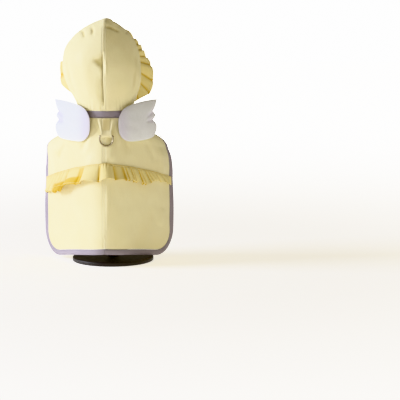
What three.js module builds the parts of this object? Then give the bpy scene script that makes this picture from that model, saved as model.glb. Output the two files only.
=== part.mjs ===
// Hooded raincoat cape for a small dog, resting upright on a limbless dress form.
// Millimetres, +Z up. The origin is the centre of the round base, on the surface it stands on.
// The coat's back faces -Y; its open front and the face opening of the hood face +Y.
import * as THREE from "three";
import { mergeVertices } from "three/addons/utils/BufferGeometryUtils.js";

// Driving dimensions
const GARMENT_X = -10; // the coat sits a little to one side of its stand
const CLOTH = 1.2; // wall of the raincoat cloth
const SEAM_GAP = 0.3; // gap between pieces that are sewn together
const NECK_RADIUS = 46;
const THROAT_Y = 35; // front of the neck ring
const COLLAR_BOTTOM_Z = 260;
const COLLAR_HEIGHT = 12;
const BACK_LENGTH = 226; // spine seam, from the collar to the hem binding
const HALF_GIRTH = 177; // spine seam to side edge, round the body
const CORNER_RADIUS = 44; // rounded hem corner
const BINDING_WIDTH = 10;
const BINDING_THICKNESS = 2.4;
const ROW_DROOP_POWER = 1.25; // how a cross row of the cloth falls from the spine to the side

// Cape rows, from the neck to the hem.
// down: mm along the spine. spineY: depth of the spine seam. ridge: degrees that the cloth turns at the spine.
// wrap: further degrees of turn by 180 mm from the spine. droop: mm that the row falls at the side edge.
// reach: mm from the spine to the edge of the panel, before the hem corner is rounded.
const CAPE_ROWS = [
  { down: 0, spineY: -57, ridge: 0, wrap: 224.2, droop: 4, reach: 130 },
  { down: 10, spineY: -58.5, ridge: 15, wrap: 134, droop: 13, reach: 151 },
  { down: 22, spineY: -61, ridge: 28, wrap: 63, droop: 23, reach: 169 },
  { down: 38, spineY: -65, ridge: 36, wrap: 37, droop: 32, reach: 175 },
  { down: 58, spineY: -69, ridge: 40.5, wrap: 26, droop: 37, reach: 177 },
  { down: 82, spineY: -72.5, ridge: 44.5, wrap: 19, droop: 39, reach: 177 },
  { down: 125, spineY: -77, ridge: 47.5, wrap: 13, droop: 36, reach: 177 },
  { down: 175, spineY: -80, ridge: 49.5, wrap: 10, droop: 30, reach: 177 },
  { down: 226, spineY: -82, ridge: 51, wrap: 9, droop: 25, reach: 177 },
];
const RIDGE_LENGTH = 26; // mm over which the cloth turns at the spine

// Hood slices, each in a plane that turns about a line across the throat.
// angle: degrees from the neck plane. reach: throat to centre seam. width: half width.
// middle: throat to the widest point. peak: 1 is round, more is a pointed ridge at the seam.
const HOOD_SLICES = [
  { angle: 0, reach: 92, width: 46, middle: 46, peak: 1.0 },
  { angle: 14, reach: 101, width: 51, middle: 53, peak: 1.15 },
  { angle: 30, reach: 120, width: 58, middle: 66, peak: 1.35 },
  { angle: 46, reach: 143, width: 65, middle: 80, peak: 1.5 },
  { angle: 62, reach: 162, width: 67, middle: 91, peak: 1.55 },
  { angle: 72, reach: 166, width: 67, middle: 92, peak: 1.45 },
  { angle: 83, reach: 148, width: 63, middle: 85, peak: 1.25 },
  { angle: 93, reach: 128, width: 57, middle: 74, peak: 1.1 },
];
const HOOD_THROAT_RADIUS = 3;
const HOOD_SWAY = -9; // the filled hood leans to the left of its seam above its middle, mm
const HOOD_SWAY_POWER = 1.5;
const HOOD_SWAY_FROM_SEAM = 25; // mm from the seam at which half of the lean is reached
const HOOD_TOP_Z = 432;
const HOOD_END_ANGLE = 163; // degrees round a slice from the seam to the throat end

// Ruffles. width: root to free edge. lean: degrees that it leans off the cloth.
const BACK_RUFFLE = { width: 31, thickness: 1, lean: 17, steps: 112, rootWave: 0.12 };
const BACK_RUFFLE_DOWN = 78; // head edge of the back ruffle, mm down from the neck
const BACK_RUFFLE_TUCK = 22; // mm at each end over which it is pressed flat to the side binding
const HOOD_RUFFLE = { width: 36, thickness: 1, lean: 71, steps: 144, rootWave: 0.12 };
const HOOD_RUFFLE_WAVES = 24;
const HOOD_RUFFLE_SWELL = 4;
const HOOD_RUFFLE_TUCK = 60; // degrees round the face edge over which it narrows towards the throat
const RUFFLE_ROWS = 2;

// Where the back ruffle is caught at its head edge, from the left side to the right.
// at: mm from the spine. swell: how far the cloth stands out between here and the next, mm.
const BACK_GATHERS = [
  { at: -176, swell: 2.2 },
  { at: -163, swell: 3.2 },
  { at: -149, swell: 4.2 },
  { at: -136, swell: 3.4 },
  { at: -121, swell: 4.6 },
  { at: -104, swell: 5.2 },
  { at: -78, swell: 5.6 },
  { at: -50, swell: 6.2 },
  { at: -14, swell: 5.0 },
  { at: 9, swell: 5.4 },
  { at: 35, swell: 3.0 },
  { at: 45, swell: 3.4 },
  { at: 55, swell: 3.8 },
  { at: 66, swell: 3.2 },
  { at: 76, swell: 4.2 },
  { at: 90, swell: 3.6 },
  { at: 102, swell: 4.2 },
  { at: 117, swell: 3.8 },
  { at: 131, swell: 3.6 },
  { at: 146, swell: 3.0 },
  { at: 161, swell: 2.2 },
  { at: 176, swell: 0 },
];

// Wings. across: mm from the coat's centre plane. height: mm above the floor. A sharp point keeps its corner.
const WING_OUTLINE = [
  { across: 28, height: 248, sharp: 0 },
  { across: 29, height: 263, sharp: 0 },
  { across: 36, height: 276, sharp: 0 },
  { across: 53, height: 284.5, sharp: 0 },
  { across: 73, height: 288.5, sharp: 0 },
  { across: 89, height: 289.5, sharp: 1 },
  { across: 87, height: 278, sharp: 0 },
  { across: 83.4, height: 268.5, sharp: 1 },
  { across: 86, height: 261, sharp: 0 },
  { across: 83.4, height: 253.5, sharp: 1 },
  { across: 88.4, height: 244, sharp: 0 },
  { across: 87.6, height: 231, sharp: 0 },
  { across: 81, height: 222, sharp: 0 },
  { across: 61, height: 218, sharp: 0 },
  { across: 41, height: 219, sharp: 0 },
  { across: 30.5, height: 231, sharp: 0 },
];
const WING_MIDDLE = { across: 59, height: 250 };
const WING_THICKNESS = 9;
const WING_RIM = 1.2;
const WING_ROOT_Y = -59.2;
const WING_SLOPE = 40; // degrees that the wing turns back from the view of the back

// Ring, tab and snap
const RING_WIRE = 1.5; // radius of the wire
const RING_HALF_WIDTH = 11.5; // to the wire's centre
const RING_DROP = 17.8; // straight bar to the bottom of the bow, centre to centre
const RING_BAR_Z = 230;
const RING_STAND_OFF = 6.2; // spine seam to the bar's centre
const TAB_ACROSS = 4; // the tab is sewn on this far from the spine seam
const TAB_HALF_WIDTH_TOP = 16;
const TAB_HALF_WIDTH_BOTTOM = 9.6;
const TAB_THICKNESS = 1.1;
const SNAP_ALONG = 60; // mm down the front edge from the collar
const SNAP_OUTSIDE_GAP = 0.4;
const SNAP_INSIDE_GAP = 1.1; // the binding curves away from a flat disc here
// Snap profiles: radius and height from the binding, mm
const SNAP_CAP = [[0, 0], [4.6, 0], [4.6, 0.7], [3.6, 1.5], [1.8, 1.9], [0, 2]];
const SNAP_SOCKET = [[0, 0], [3.4, 0], [3.4, 1], [2.3, 1], [2.1, 0.5], [0, 0.5]];
const SNAP_STUD = [[0, 0], [4.2, 0], [4.2, 0.6], [1.7, 0.6], [1.9, 1.9], [1.3, 2.3], [0, 2.3]];
const SNAP_PLATE = [[0, 0], [3.2, 0], [3.2, 0.6], [0, 0.8]];

// Stand
const BASE_RADIUS = 72.5;
const BASE_HEIGHT = 7;
const POST_RADIUS = 9;
const STAND_GAP = 0.3;
const FORM_BOTTOM_Z = 40;
const CROWN_RISE = 3;
const BASE_EDGE = 1.5;

// Form sections, from its flat foot to the crown. height: above the floor. middleY: depth of the widest line.
const FORM_ROWS = [
  { height: 40, middleY: 4, halfWidth: 30, back: 28, front: 30 },
  { height: 46, middleY: 4, halfWidth: 44, back: 43, front: 46 },
  { height: 60, middleY: 4, halfWidth: 54, back: 55, front: 58 },
  { height: 85, middleY: 4, halfWidth: 59, back: 61, front: 65 },
  { height: 130, middleY: 4, halfWidth: 60, back: 61, front: 67 },
  { height: 175, middleY: 2, halfWidth: 59, back: 58, front: 66 },
  { height: 210, middleY: -2, halfWidth: 56, back: 53, front: 58 },
  { height: 232, middleY: -7, halfWidth: 49, back: 47, front: 49 },
  { height: 250, middleY: -11, halfWidth: 44.4, back: 44.4, front: 44.4 },
  { height: 280, middleY: -11, halfWidth: 44.4, back: 44.4, front: 42 },
  { height: 300, middleY: -12, halfWidth: 49, back: 46, front: 41 },
  { height: 330, middleY: -13, halfWidth: 56, back: 49, front: 44 },
  { height: 358, middleY: -13, halfWidth: 57, back: 47, front: 45 },
  { height: 382, middleY: -13, halfWidth: 48, back: 39, front: 41 },
  { height: 402, middleY: -13, halfWidth: 31, back: 25, front: 30 },
  { height: 413, middleY: -13, halfWidth: 14, back: 11, front: 14 },
];

const DEGREE = Math.PI / 180;
const STATION_COLORS = {
  cloth: 0xf3ecc4,
  ruffle: 0xf4dc92,
  binding: 0x978fa0,
  wing: 0xf3f2f6,
  metal: 0xc9c2b0,
  form: 0xe9e4da,
  base: 0x1d1613,
};

const part = new THREE.Group();

function finish(color, roughness, metalness = 0) {
  return new THREE.MeshStandardMaterial({ color, roughness, metalness, side: THREE.FrontSide });
}

function addPiece(name, geometry, material) {
  const mesh = new THREE.Mesh(geometry, material);
  mesh.name = name;
  mesh.position.x = GARMENT_X;
  part.add(mesh);
  return mesh;
}

function lerp(a, b, t) {
  return a + (b - a) * t;
}

function smooth(t) {
  const c = Math.min(1, Math.max(0, t));
  return c * c * (3 - 2 * c);
}

// A row of a table at any value of its key column, by a curve through the rows.
function rowAt(rows, key, value) {
  const last = rows.length - 1;
  let i = rows.findIndex((row) => row[key] > value) - 1;
  if (value >= rows[last][key]) i = last - 1;
  if (value <= rows[0][key]) i = 0;
  const before = rows[Math.max(0, i - 1)];
  const from = rows[i];
  const to = rows[i + 1];
  const after = rows[Math.min(last, i + 2)];
  const span = to[key] - from[key];
  const t = (value - from[key]) / span;
  const out = {};
  for (const column of Object.keys(from)) {
    const slopeFrom = ((to[column] - before[column]) / (to[key] - before[key])) * span;
    const slopeTo = ((after[column] - from[column]) / (after[key] - from[key])) * span;
    const t2 = t * t;
    const t3 = t2 * t;
    out[column] =
      (2 * t3 - 3 * t2 + 1) * from[column] +
      (t3 - 2 * t2 + t) * slopeFrom +
      (3 * t2 - 2 * t3) * to[column] +
      (t3 - t2) * slopeTo;
  }
  return out;
}

// Point of the cape's middle surface, on the +X side: mm from the spine, mm down from the neck.
function capePoint(fromSpine, down) {
  const row = rowAt(CAPE_ROWS, "down", down);
  const steps = 24;
  const step = fromSpine / steps;
  let x = 0;
  let y = row.spineY;
  for (let i = 0; i < steps; i++) {
    const s = (i + 0.5) * step;
    const turn = (row.ridge * Math.tanh(s / RIDGE_LENGTH) + (row.wrap * s) / 180) * DEGREE;
    x += Math.cos(turn) * step;
    y += Math.sin(turn) * step;
  }
  const z = COLLAR_BOTTOM_Z - SEAM_GAP - down - row.droop * (Math.abs(fromSpine) / HALF_GIRTH) ** ROW_DROOP_POWER;
  return new THREE.Vector3(x, y, z);
}

// Panel width at a row, with the hem corner rounded.
function capeReach(down) {
  const reach = rowAt(CAPE_ROWS, "down", down).reach;
  const intoCorner = down - (BACK_LENGTH - CORNER_RADIUS);
  if (intoCorner <= 0) return reach;
  return reach - CORNER_RADIUS + Math.sqrt(Math.max(0, CORNER_RADIUS ** 2 - intoCorner ** 2));
}

// Rows of the cape mesh: even down to the corner, then closer round it.
function capeRowPositions(evenRows, cornerRows) {
  const rows = [];
  const straight = BACK_LENGTH - CORNER_RADIUS;
  for (let i = 0; i < evenRows; i++) rows.push(straight * (i / evenRows) ** 1.15);
  for (let i = 0; i <= cornerRows; i++) rows.push(straight + CORNER_RADIUS * Math.sin((i / cornerRows) * (Math.PI / 2)));
  return rows;
}

// Unit normal of a surface by differences; outward is the side that the cross product gives.
function normalOf(surface, a, b, stepA, stepB) {
  const alongA = surface(a + stepA, b).sub(surface(a - stepA, b));
  const alongB = surface(a, b + stepB).sub(surface(a, b - stepB));
  return alongA.cross(alongB).normalize();
}

function capeNormal(fromSpine, down) {
  return normalOf(capePoint, fromSpine, Math.min(Math.max(down, 0.5), BACK_LENGTH - 0.5), 0.5, 0.5).negate();
}

// Closed wall from two grids of points of the same size, outer and inner.
function wallGeometry(outer, inner) {
  const rows = outer.length;
  const columns = outer[0].length;
  const positions = [];
  for (const grid of [outer, inner]) for (const row of grid) for (const p of row) positions.push(p.x, p.y, p.z);
  const id = (layer, i, j) => (layer * rows + i) * columns + j;
  const index = [];
  const quad = (a, b, c, d) => index.push(a, b, c, a, c, d);
  for (let i = 0; i + 1 < rows; i++) {
    for (let j = 0; j + 1 < columns; j++) {
      quad(id(0, i, j), id(0, i + 1, j), id(0, i + 1, j + 1), id(0, i, j + 1));
      quad(id(1, i, j), id(1, i, j + 1), id(1, i + 1, j + 1), id(1, i + 1, j));
    }
  }
  for (let i = 0; i + 1 < rows; i++) {
    quad(id(0, i, 0), id(1, i, 0), id(1, i + 1, 0), id(0, i + 1, 0));
    const k = columns - 1;
    quad(id(0, i, k), id(0, i + 1, k), id(1, i + 1, k), id(1, i, k));
  }
  for (let j = 0; j + 1 < columns; j++) {
    quad(id(0, 0, j), id(0, 0, j + 1), id(1, 0, j + 1), id(1, 0, j));
    const k = rows - 1;
    quad(id(0, k, j), id(1, k, j), id(1, k, j + 1), id(0, k, j + 1));
  }
  const geometry = new THREE.BufferGeometry();
  geometry.setAttribute("position", new THREE.Float32BufferAttribute(positions, 3));
  geometry.setIndex(index);
  return facingOut(geometry);
}

function signedVolume(geometry) {
  const p = geometry.getAttribute("position");
  const index = geometry.getIndex();
  const a = new THREE.Vector3();
  const b = new THREE.Vector3();
  const c = new THREE.Vector3();
  let volume = 0;
  for (let i = 0; i < index.count; i += 3) {
    a.fromBufferAttribute(p, index.getX(i));
    b.fromBufferAttribute(p, index.getX(i + 1));
    c.fromBufferAttribute(p, index.getX(i + 2));
    volume += a.dot(b.cross(c)) / 6;
  }
  return volume;
}

function facingOut(geometry) {
  if (signedVolume(geometry) < 0) {
    const index = geometry.getIndex();
    for (let i = 0; i < index.count; i += 3) {
      const swap = index.getX(i + 1);
      index.setX(i + 1, index.getX(i + 2));
      index.setX(i + 2, swap);
    }
  }
  geometry.computeVertexNormals();
  return geometry;
}

// Mirror of a grid across the plane x = 0.
function mirrored(grid) {
  return grid.map((row) => row.map((p) => new THREE.Vector3(-p.x, p.y, p.z)));
}

// Wall from a grid of middle points and their normals.
function thickWall(points, normals, thickness) {
  const offset = (amount) =>
    points.map((row, i) => row.map((p, j) => p.clone().addScaledVector(normals[i][j], amount)));
  return { outer: offset(thickness / 2), inner: offset(-thickness / 2) };
}

// A piece for the right side and its mirror image for the left.
function addPair(name, wall, material, settle = (geometry) => geometry) {
  addPiece(name + "_right", settle(wallGeometry(wall.outer, wall.inner)), material);
  addPiece(name + "_left", settle(wallGeometry(mirrored(wall.outer), mirrored(wall.inner))), material);
}

// Cape panels, from the spine seam to the side edge
function capeGrid() {
  const columns = 16;
  const points = [];
  const normals = [];
  for (const down of capeRowPositions(12, 8)) {
    const reach = capeReach(down);
    const row = [];
    const rowNormals = [];
    for (let j = 0; j <= columns; j++) {
      const s = reach * (j / columns) ** 1.1;
      const p = capePoint(s, down);
      const n = capeNormal(s, down);
      if (j === 0) {
        n.x = 0;
        n.normalize();
        p.x = SEAM_GAP / 2;
      }
      row.push(p);
      rowNormals.push(n);
    }
    points.push(row);
    normals.push(rowNormals);
  }
  return { points, normals };
}

// The edge binding: a strip just past the outline of the panel, down the front edge and along the hem.
function edgeBindingWall(grid) {
  const rows = grid.points.length;
  const columns = grid.points[0].length;
  const path = [];
  for (let i = 0; i < rows; i++) path.push([grid.points[i][columns - 1], grid.normals[i][columns - 1]]);
  for (let j = columns - 2; j >= 0; j--) path.push([grid.points[rows - 1][j], grid.normals[rows - 1][j]]);
  const points = [[], []];
  const normals = [[], []];
  path.forEach(([point, normal], i) => {
    const next = path[Math.min(i + 1, path.length - 1)][0];
    const before = path[Math.max(i - 1, 0)][0];
    const out = normal.clone().cross(next.clone().sub(before)).normalize();
    if (i === path.length - 1) {
      out.x = 0;
      out.normalize();
    }
    for (const [k, distance] of [SEAM_GAP, SEAM_GAP + BINDING_WIDTH].entries()) {
      points[k].push(point.clone().addScaledVector(out, distance));
      normals[k].push(normal);
    }
  });
  return thickWall(points, normals, BINDING_THICKNESS);
}

// The collar binding: a band round the neck seam, open at the throat.
function collarGeometry() {
  const steps = 36;
  const openHalfAngle = 6 * DEGREE;
  const centreY = THROAT_Y - NECK_RADIUS;
  const points = [[], []];
  const normals = [[], []];
  for (let i = 0; i <= steps; i++) {
    const turn = lerp(openHalfAngle, 2 * Math.PI - openHalfAngle, i / steps);
    const out = new THREE.Vector3(Math.sin(turn), Math.cos(turn), 0);
    for (let k = 0; k < 2; k++) {
      const z = COLLAR_BOTTOM_Z + k * COLLAR_HEIGHT;
      points[k].push(new THREE.Vector3(out.x * NECK_RADIUS, centreY + out.y * NECK_RADIUS, z));
      normals[k].push(out);
    }
  }
  const wall = thickWall(points, normals, BINDING_THICKNESS);
  return wallGeometry(wall.outer, wall.inner);
}

// Point of the hood's middle surface on the +X side: degrees round the slice from the seam, slice angle.
function hoodPoint(round, angle) {
  const slice = rowAt(HOOD_SLICES, "angle", angle);
  const t = round * DEGREE;
  const beyondMiddle = round > 90;
  const x = slice.width * (beyondMiddle ? Math.sin(t) : Math.sign(t) * Math.abs(Math.sin(t)) ** slice.peak);
  const rise = beyondMiddle ? slice.middle - HOOD_THROAT_RADIUS : slice.reach - slice.middle;
  const fromThroat = slice.middle + rise * Math.cos(t);
  const z = COLLAR_BOTTOM_Z + COLLAR_HEIGHT + SEAM_GAP;
  return new THREE.Vector3(
    x,
    THROAT_Y - fromThroat * Math.cos(angle * DEGREE),
    z + fromThroat * Math.sin(angle * DEGREE),
  );
}

// The filled hood's lean, added to a hood piece and to the form in it once they are built.
function swayed(geometry) {
  const p = geometry.getAttribute("position");
  const foot = COLLAR_BOTTOM_Z + COLLAR_HEIGHT;
  for (let i = 0; i < p.count; i++) {
    const up = Math.min(1, Math.max(0, (p.getZ(i) - foot) / (HOOD_TOP_Z - foot)));
    const x = p.getX(i);
    const share = x ** 2 / (x ** 2 + HOOD_SWAY_FROM_SEAM ** 2);
    p.setX(i, x + HOOD_SWAY * share * Math.sin(Math.PI * up ** HOOD_SWAY_POWER));
  }
  return geometry;
}

const FACE_ANGLE = HOOD_SLICES[HOOD_SLICES.length - 1].angle;

function hoodNormal(round, angle) {
  const a = Math.min(Math.max(angle, 0.5), FACE_ANGLE - 0.5);
  return normalOf(hoodPoint, Math.max(round, 0.6), a, 0.5, 0.5);
}

function hoodWall() {
  const rows = 14;
  const columns = 15;
  const points = [];
  const normals = [];
  for (let i = 0; i <= rows; i++) {
    const angle = FACE_ANGLE * (i / rows);
    const row = [];
    const rowNormals = [];
    for (let j = 0; j <= columns; j++) {
      const round = HOOD_END_ANGLE * (j / columns);
      const p = hoodPoint(round, angle);
      const n = hoodNormal(round, angle);
      if (j === 0) {
        p.x = SEAM_GAP / 2;
        n.x = 0;
        n.normalize();
      }
      row.push(p);
      rowNormals.push(n);
    }
    points.push(row);
    normals.push(rowNormals);
  }
  return thickWall(points, normals, CLOTH);
}

// How far the back ruffle's cloth stands out at a place from 0 to 1 along it, in mm.
function backSwell(along) {
  const last = BACK_GATHERS.length - 1;
  const at = lerp(BACK_GATHERS[0].at, BACK_GATHERS[last].at, along);
  let i = 0;
  while (i < last - 1 && BACK_GATHERS[i + 1].at < at) i++;
  const from = BACK_GATHERS[i];
  const t = (at - from.at) / (BACK_GATHERS[i + 1].at - from.at);
  return from.swell * (Math.sin(Math.PI * t) ** 2 * 1.6 - 0.6);
}

// The same for the hood ruffle: even waves, a little out of step as gathers are.
function hoodSwell(along) {
  const turn = 2 * Math.PI;
  const uneven = 0.32 * Math.sin(turn * (2.6 * along + 0.1)) + 0.2 * Math.sin(turn * (5.3 * along + 0.4));
  const depth = 0.78 + 0.22 * Math.sin(turn * (3.7 * along + 0.25));
  return HOOD_RUFFLE_SWELL * depth * Math.sin(turn * (HOOD_RUFFLE_WAVES * along + uneven));
}

// A gathered strip. root gives, for a place from 0 to 1 along it, a point, the cloth's normal and the way off the seam,
// how freely the strip stands there and how much of its width it has. swell gives how far its cloth stands out.
function ruffleGeometry(root, swell, ruffle) {
  const place = (along, across) => {
    const { point, normal, off, free, wide } = root(along);
    const lean = ruffle.lean * DEGREE * free;
    const width = ruffle.width * wide;
    const swing = lerp(ruffle.rootWave, 1, across) * swell(along) * free;
    return point
      .clone()
      .addScaledVector(off, width * across * Math.cos(lean) - swing * Math.sin(lean))
      .addScaledVector(normal, width * across * Math.sin(lean) + swing * Math.cos(lean));
  };
  const points = [];
  const normals = [];
  for (let i = 0; i <= RUFFLE_ROWS; i++) {
    const across = i / RUFFLE_ROWS;
    const row = [];
    const rowNormals = [];
    for (let j = 0; j <= ruffle.steps; j++) {
      const along = j / ruffle.steps;
      const inner = Math.min(Math.max(along, 0.001), 0.999);
      const middle = Math.min(Math.max(across, 0.02), 0.98);
      row.push(place(along, across));
      rowNormals.push(normalOf(place, inner, middle, 0.0008, 0.02));
    }
    points.push(row);
    normals.push(rowNormals);
  }
  const wall = thickWall(points, normals, ruffle.thickness);
  return wallGeometry(wall.outer, wall.inner);
}

// Head edge of the back ruffle, stitched across both panels.
function backRuffleRoot(along) {
  const reach = BACK_GATHERS[BACK_GATHERS.length - 1].at;
  const signed = lerp(-reach, reach, along);
  const side = Math.sign(signed) || 1;
  const s = Math.abs(signed);
  const normal = capeNormal(Math.max(s, 0.5), BACK_RUFFLE_DOWN);
  const off = capePoint(s, BACK_RUFFLE_DOWN + 1).sub(capePoint(s, BACK_RUFFLE_DOWN - 1)).normalize();
  const clear = CLOTH / 2 + SEAM_GAP + BACK_RUFFLE.thickness / 2 + 1;
  const point = capePoint(s, BACK_RUFFLE_DOWN).addScaledVector(normal, clear);
  for (const v of [normal, off, point]) v.x *= side;
  return { point, normal, off, free: lerp(0.12, 1, smooth((reach - s) / BACK_RUFFLE_TUCK)), wide: 1 };
}

// Root of the hood ruffle, along the face edge from throat to throat.
function hoodRuffleRoot(along) {
  const signed = lerp(-HOOD_END_ANGLE, HOOD_END_ANGLE, along);
  const side = Math.sign(signed) || 1;
  const round = Math.abs(signed);
  const normal = hoodNormal(Math.max(round, 0.6), FACE_ANGLE);
  const off = hoodPoint(round, FACE_ANGLE).sub(hoodPoint(round, FACE_ANGLE - 1)).normalize();
  const clear = SEAM_GAP + HOOD_RUFFLE.thickness / 2 + HOOD_RUFFLE.rootWave * HOOD_RUFFLE_SWELL;
  const point = hoodPoint(round, FACE_ANGLE).addScaledVector(off, clear);
  for (const v of [normal, off, point]) v.x *= side;
  const clearOfThroat = smooth((HOOD_END_ANGLE - round) / HOOD_RUFFLE_TUCK);
  return { point, normal, off, free: lerp(0.15, 1, clearOfThroat), wide: lerp(0.6, 1, clearOfThroat) };
}

// Outline of the wing, rounded through its points but kept sharp where the table says.
function wingOutline(stepsPerSpan) {
  const count = WING_OUTLINE.length;
  const at = (i) => WING_OUTLINE[(i + count) % count];
  const tangent = (i, key) => (at(i).sharp ? 0 : (at(i + 1)[key] - at(i - 1)[key]) / 2);
  const ring = [];
  for (let i = 0; i < count; i++) {
    for (let k = 0; k < stepsPerSpan; k++) {
      const t = k / stepsPerSpan;
      const [h00, h10] = [2 * t ** 3 - 3 * t ** 2 + 1, t ** 3 - 2 * t ** 2 + t];
      const [h01, h11] = [3 * t ** 2 - 2 * t ** 3, t ** 3 - t ** 2];
      const value = (key) => h00 * at(i)[key] + h10 * tangent(i, key) + h01 * at(i + 1)[key] + h11 * tangent(i + 1, key);
      ring.push({ across: value("across"), height: value("height") });
    }
  }
  return ring;
}

// A padded wing: two crowned faces that meet at a thin rim.
function wingGeometry(side) {
  const ring = wingOutline(2);
  const layers = 4;
  const slope = Math.tan(WING_SLOPE * DEGREE);
  const sine = Math.sin(WING_SLOPE * DEGREE);
  const cosine = Math.cos(WING_SLOPE * DEGREE);
  const positions = [];
  const push = (spot, lift) => {
    const y = WING_ROOT_Y + (spot.across - WING_OUTLINE[0].across) * slope;
    positions.push(side * (spot.across + lift * sine), y - lift * cosine, spot.height);
  };
  for (const face of [1, -1]) {
    push(WING_MIDDLE, (face * WING_THICKNESS) / 2);
    for (let k = 1; k <= layers; k++) {
      const out = k / layers;
      const lift = lerp(WING_RIM / 2, WING_THICKNESS / 2, Math.sqrt(1 - out ** 2.4));
      for (const spot of ring) {
        const at = {
          across: lerp(WING_MIDDLE.across, spot.across, out),
          height: lerp(WING_MIDDLE.height, spot.height, out),
        };
        push(at, face * lift);
      }
    }
  }
  const n = ring.length;
  const faceSize = 1 + n * layers;
  const id = (face, k, i) => face * faceSize + 1 + (k - 1) * n + ((i + n) % n);
  const index = [];
  for (let i = 0; i < n; i++) {
    index.push(0, id(0, 1, i), id(0, 1, i + 1), faceSize, id(1, 1, i + 1), id(1, 1, i));
    for (let k = 1; k < layers; k++) {
      index.push(id(0, k, i), id(0, k + 1, i), id(0, k + 1, i + 1), id(0, k, i), id(0, k + 1, i + 1), id(0, k, i + 1));
      index.push(id(1, k, i), id(1, k + 1, i + 1), id(1, k + 1, i), id(1, k, i), id(1, k, i + 1), id(1, k + 1, i + 1));
    }
    index.push(id(0, layers, i), id(1, layers, i), id(1, layers, i + 1));
    index.push(id(0, layers, i), id(1, layers, i + 1), id(0, layers, i + 1));
  }
  const geometry = new THREE.BufferGeometry();
  geometry.setAttribute("position", new THREE.Float32BufferAttribute(positions, 3));
  geometry.setIndex(index);
  return facingOut(geometry);
}

const RING_BAR_Y = capePoint(0, COLLAR_BOTTOM_Z - SEAM_GAP - RING_BAR_Z).y - RING_STAND_OFF;

// The D-ring: a round wire bent to a straight bar, two short sides and a half-round bow.
function ringGeometry() {
  const corner = 1.6;
  const sideEnd = RING_DROP - RING_HALF_WIDTH;
  const outline = new THREE.Shape();
  outline.moveTo(-RING_HALF_WIDTH + corner, 0);
  outline.lineTo(RING_HALF_WIDTH - corner, 0);
  outline.absarc(RING_HALF_WIDTH - corner, -corner, corner, Math.PI / 2, 0, true);
  outline.lineTo(RING_HALF_WIDTH, -sideEnd);
  outline.absarc(0, -sideEnd, RING_HALF_WIDTH, 0, -Math.PI, true);
  outline.lineTo(-RING_HALF_WIDTH, -corner);
  outline.absarc(-RING_HALF_WIDTH + corner, -corner, corner, Math.PI, Math.PI / 2, true);
  const loop = outline.getSpacedPoints(40).slice(0, -1);
  const sides = 6;
  const positions = [];
  loop.forEach((p, i) => {
    const next = loop[(i + 1) % loop.length];
    const before = loop[(i + loop.length - 1) % loop.length];
    const along = next.clone().sub(before).normalize();
    for (let k = 0; k < sides; k++) {
      const turn = (2 * Math.PI * k) / sides;
      const inPlane = RING_WIRE * Math.cos(turn);
      positions.push(
        TAB_ACROSS + p.x + along.y * inPlane,
        RING_BAR_Y + RING_WIRE * Math.sin(turn),
        RING_BAR_Z + p.y - along.x * inPlane,
      );
    }
  });
  const index = [];
  for (let i = 0; i < loop.length; i++) {
    for (let k = 0; k < sides; k++) {
      const a = i * sides + k;
      const b = i * sides + ((k + 1) % sides);
      const c = ((i + 1) % loop.length) * sides + k;
      const d = ((i + 1) % loop.length) * sides + ((k + 1) % sides);
      index.push(a, c, b, b, c, d);
    }
  }
  const geometry = new THREE.BufferGeometry();
  geometry.setAttribute("position", new THREE.Float32BufferAttribute(positions, 3));
  geometry.setIndex(index);
  return facingOut(geometry);
}

// The ring tab: a strip from the neck seam, round the ring's bar and back up to the seam.
function tabGeometry() {
  const loopRadius = RING_WIRE + SEAM_GAP + TAB_THICKNESS / 2;
  const topZ = COLLAR_BOTTOM_Z - 0.8;
  const straight = 5;
  const turns = 6;
  const backTopY = (x) => capeSurfaceY(x, topZ) - (CLOTH / 2 + SEAM_GAP + TAB_THICKNESS / 2);
  const layer = (across, t, front) => {
    const z = lerp(topZ, RING_BAR_Z, t);
    const half = lerp(TAB_HALF_WIDTH_TOP, TAB_HALF_WIDTH_BOTTOM, t);
    const x = TAB_ACROSS + across * half;
    const top = backTopY(x) - (front ? TAB_THICKNESS + SEAM_GAP : 0);
    const low = RING_BAR_Y + (front ? -loopRadius : loopRadius);
    const bulge = front ? 0 : 0.6 * Math.sin(Math.PI * t);
    return new THREE.Vector3(x, lerp(top, low, t) - bulge, z);
  };
  const columns = 6;
  const points = [];
  const normals = [];
  const station = (make, turn) => {
    const row = [];
    const rowNormals = [];
    for (let j = 0; j <= columns; j++) {
      row.push(make((2 * j) / columns - 1));
      rowNormals.push(new THREE.Vector3(0, -Math.cos(turn), -Math.sin(turn)));
    }
    points.push(row);
    normals.push(rowNormals);
  };
  for (let i = 0; i < straight; i++) station((across) => layer(across, i / straight, true), 0);
  for (let i = 0; i <= turns; i++) {
    const turn = (Math.PI * i) / turns;
    station(
      (across) =>
        new THREE.Vector3(
          TAB_ACROSS + across * TAB_HALF_WIDTH_BOTTOM,
          RING_BAR_Y - loopRadius * Math.cos(turn),
          RING_BAR_Z - loopRadius * Math.sin(turn),
        ),
      turn,
    );
  }
  for (let i = straight - 1; i >= 0; i--) station((across) => layer(across, i / straight, false), Math.PI);
  const wall = thickWall(points, normals, TAB_THICKNESS);
  return wallGeometry(wall.outer, wall.inner);
}

// Depth of the cape's middle surface at a place across and a height near the spine.
function capeSurfaceY(across, height) {
  let s = Math.abs(across);
  let down = COLLAR_BOTTOM_Z - SEAM_GAP - height;
  for (let i = 0; i < 6; i++) {
    const p = capePoint(s, down);
    s += Math.abs(across) - p.x;
    down += p.z - height;
  }
  return capePoint(s, down).y;
}

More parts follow.
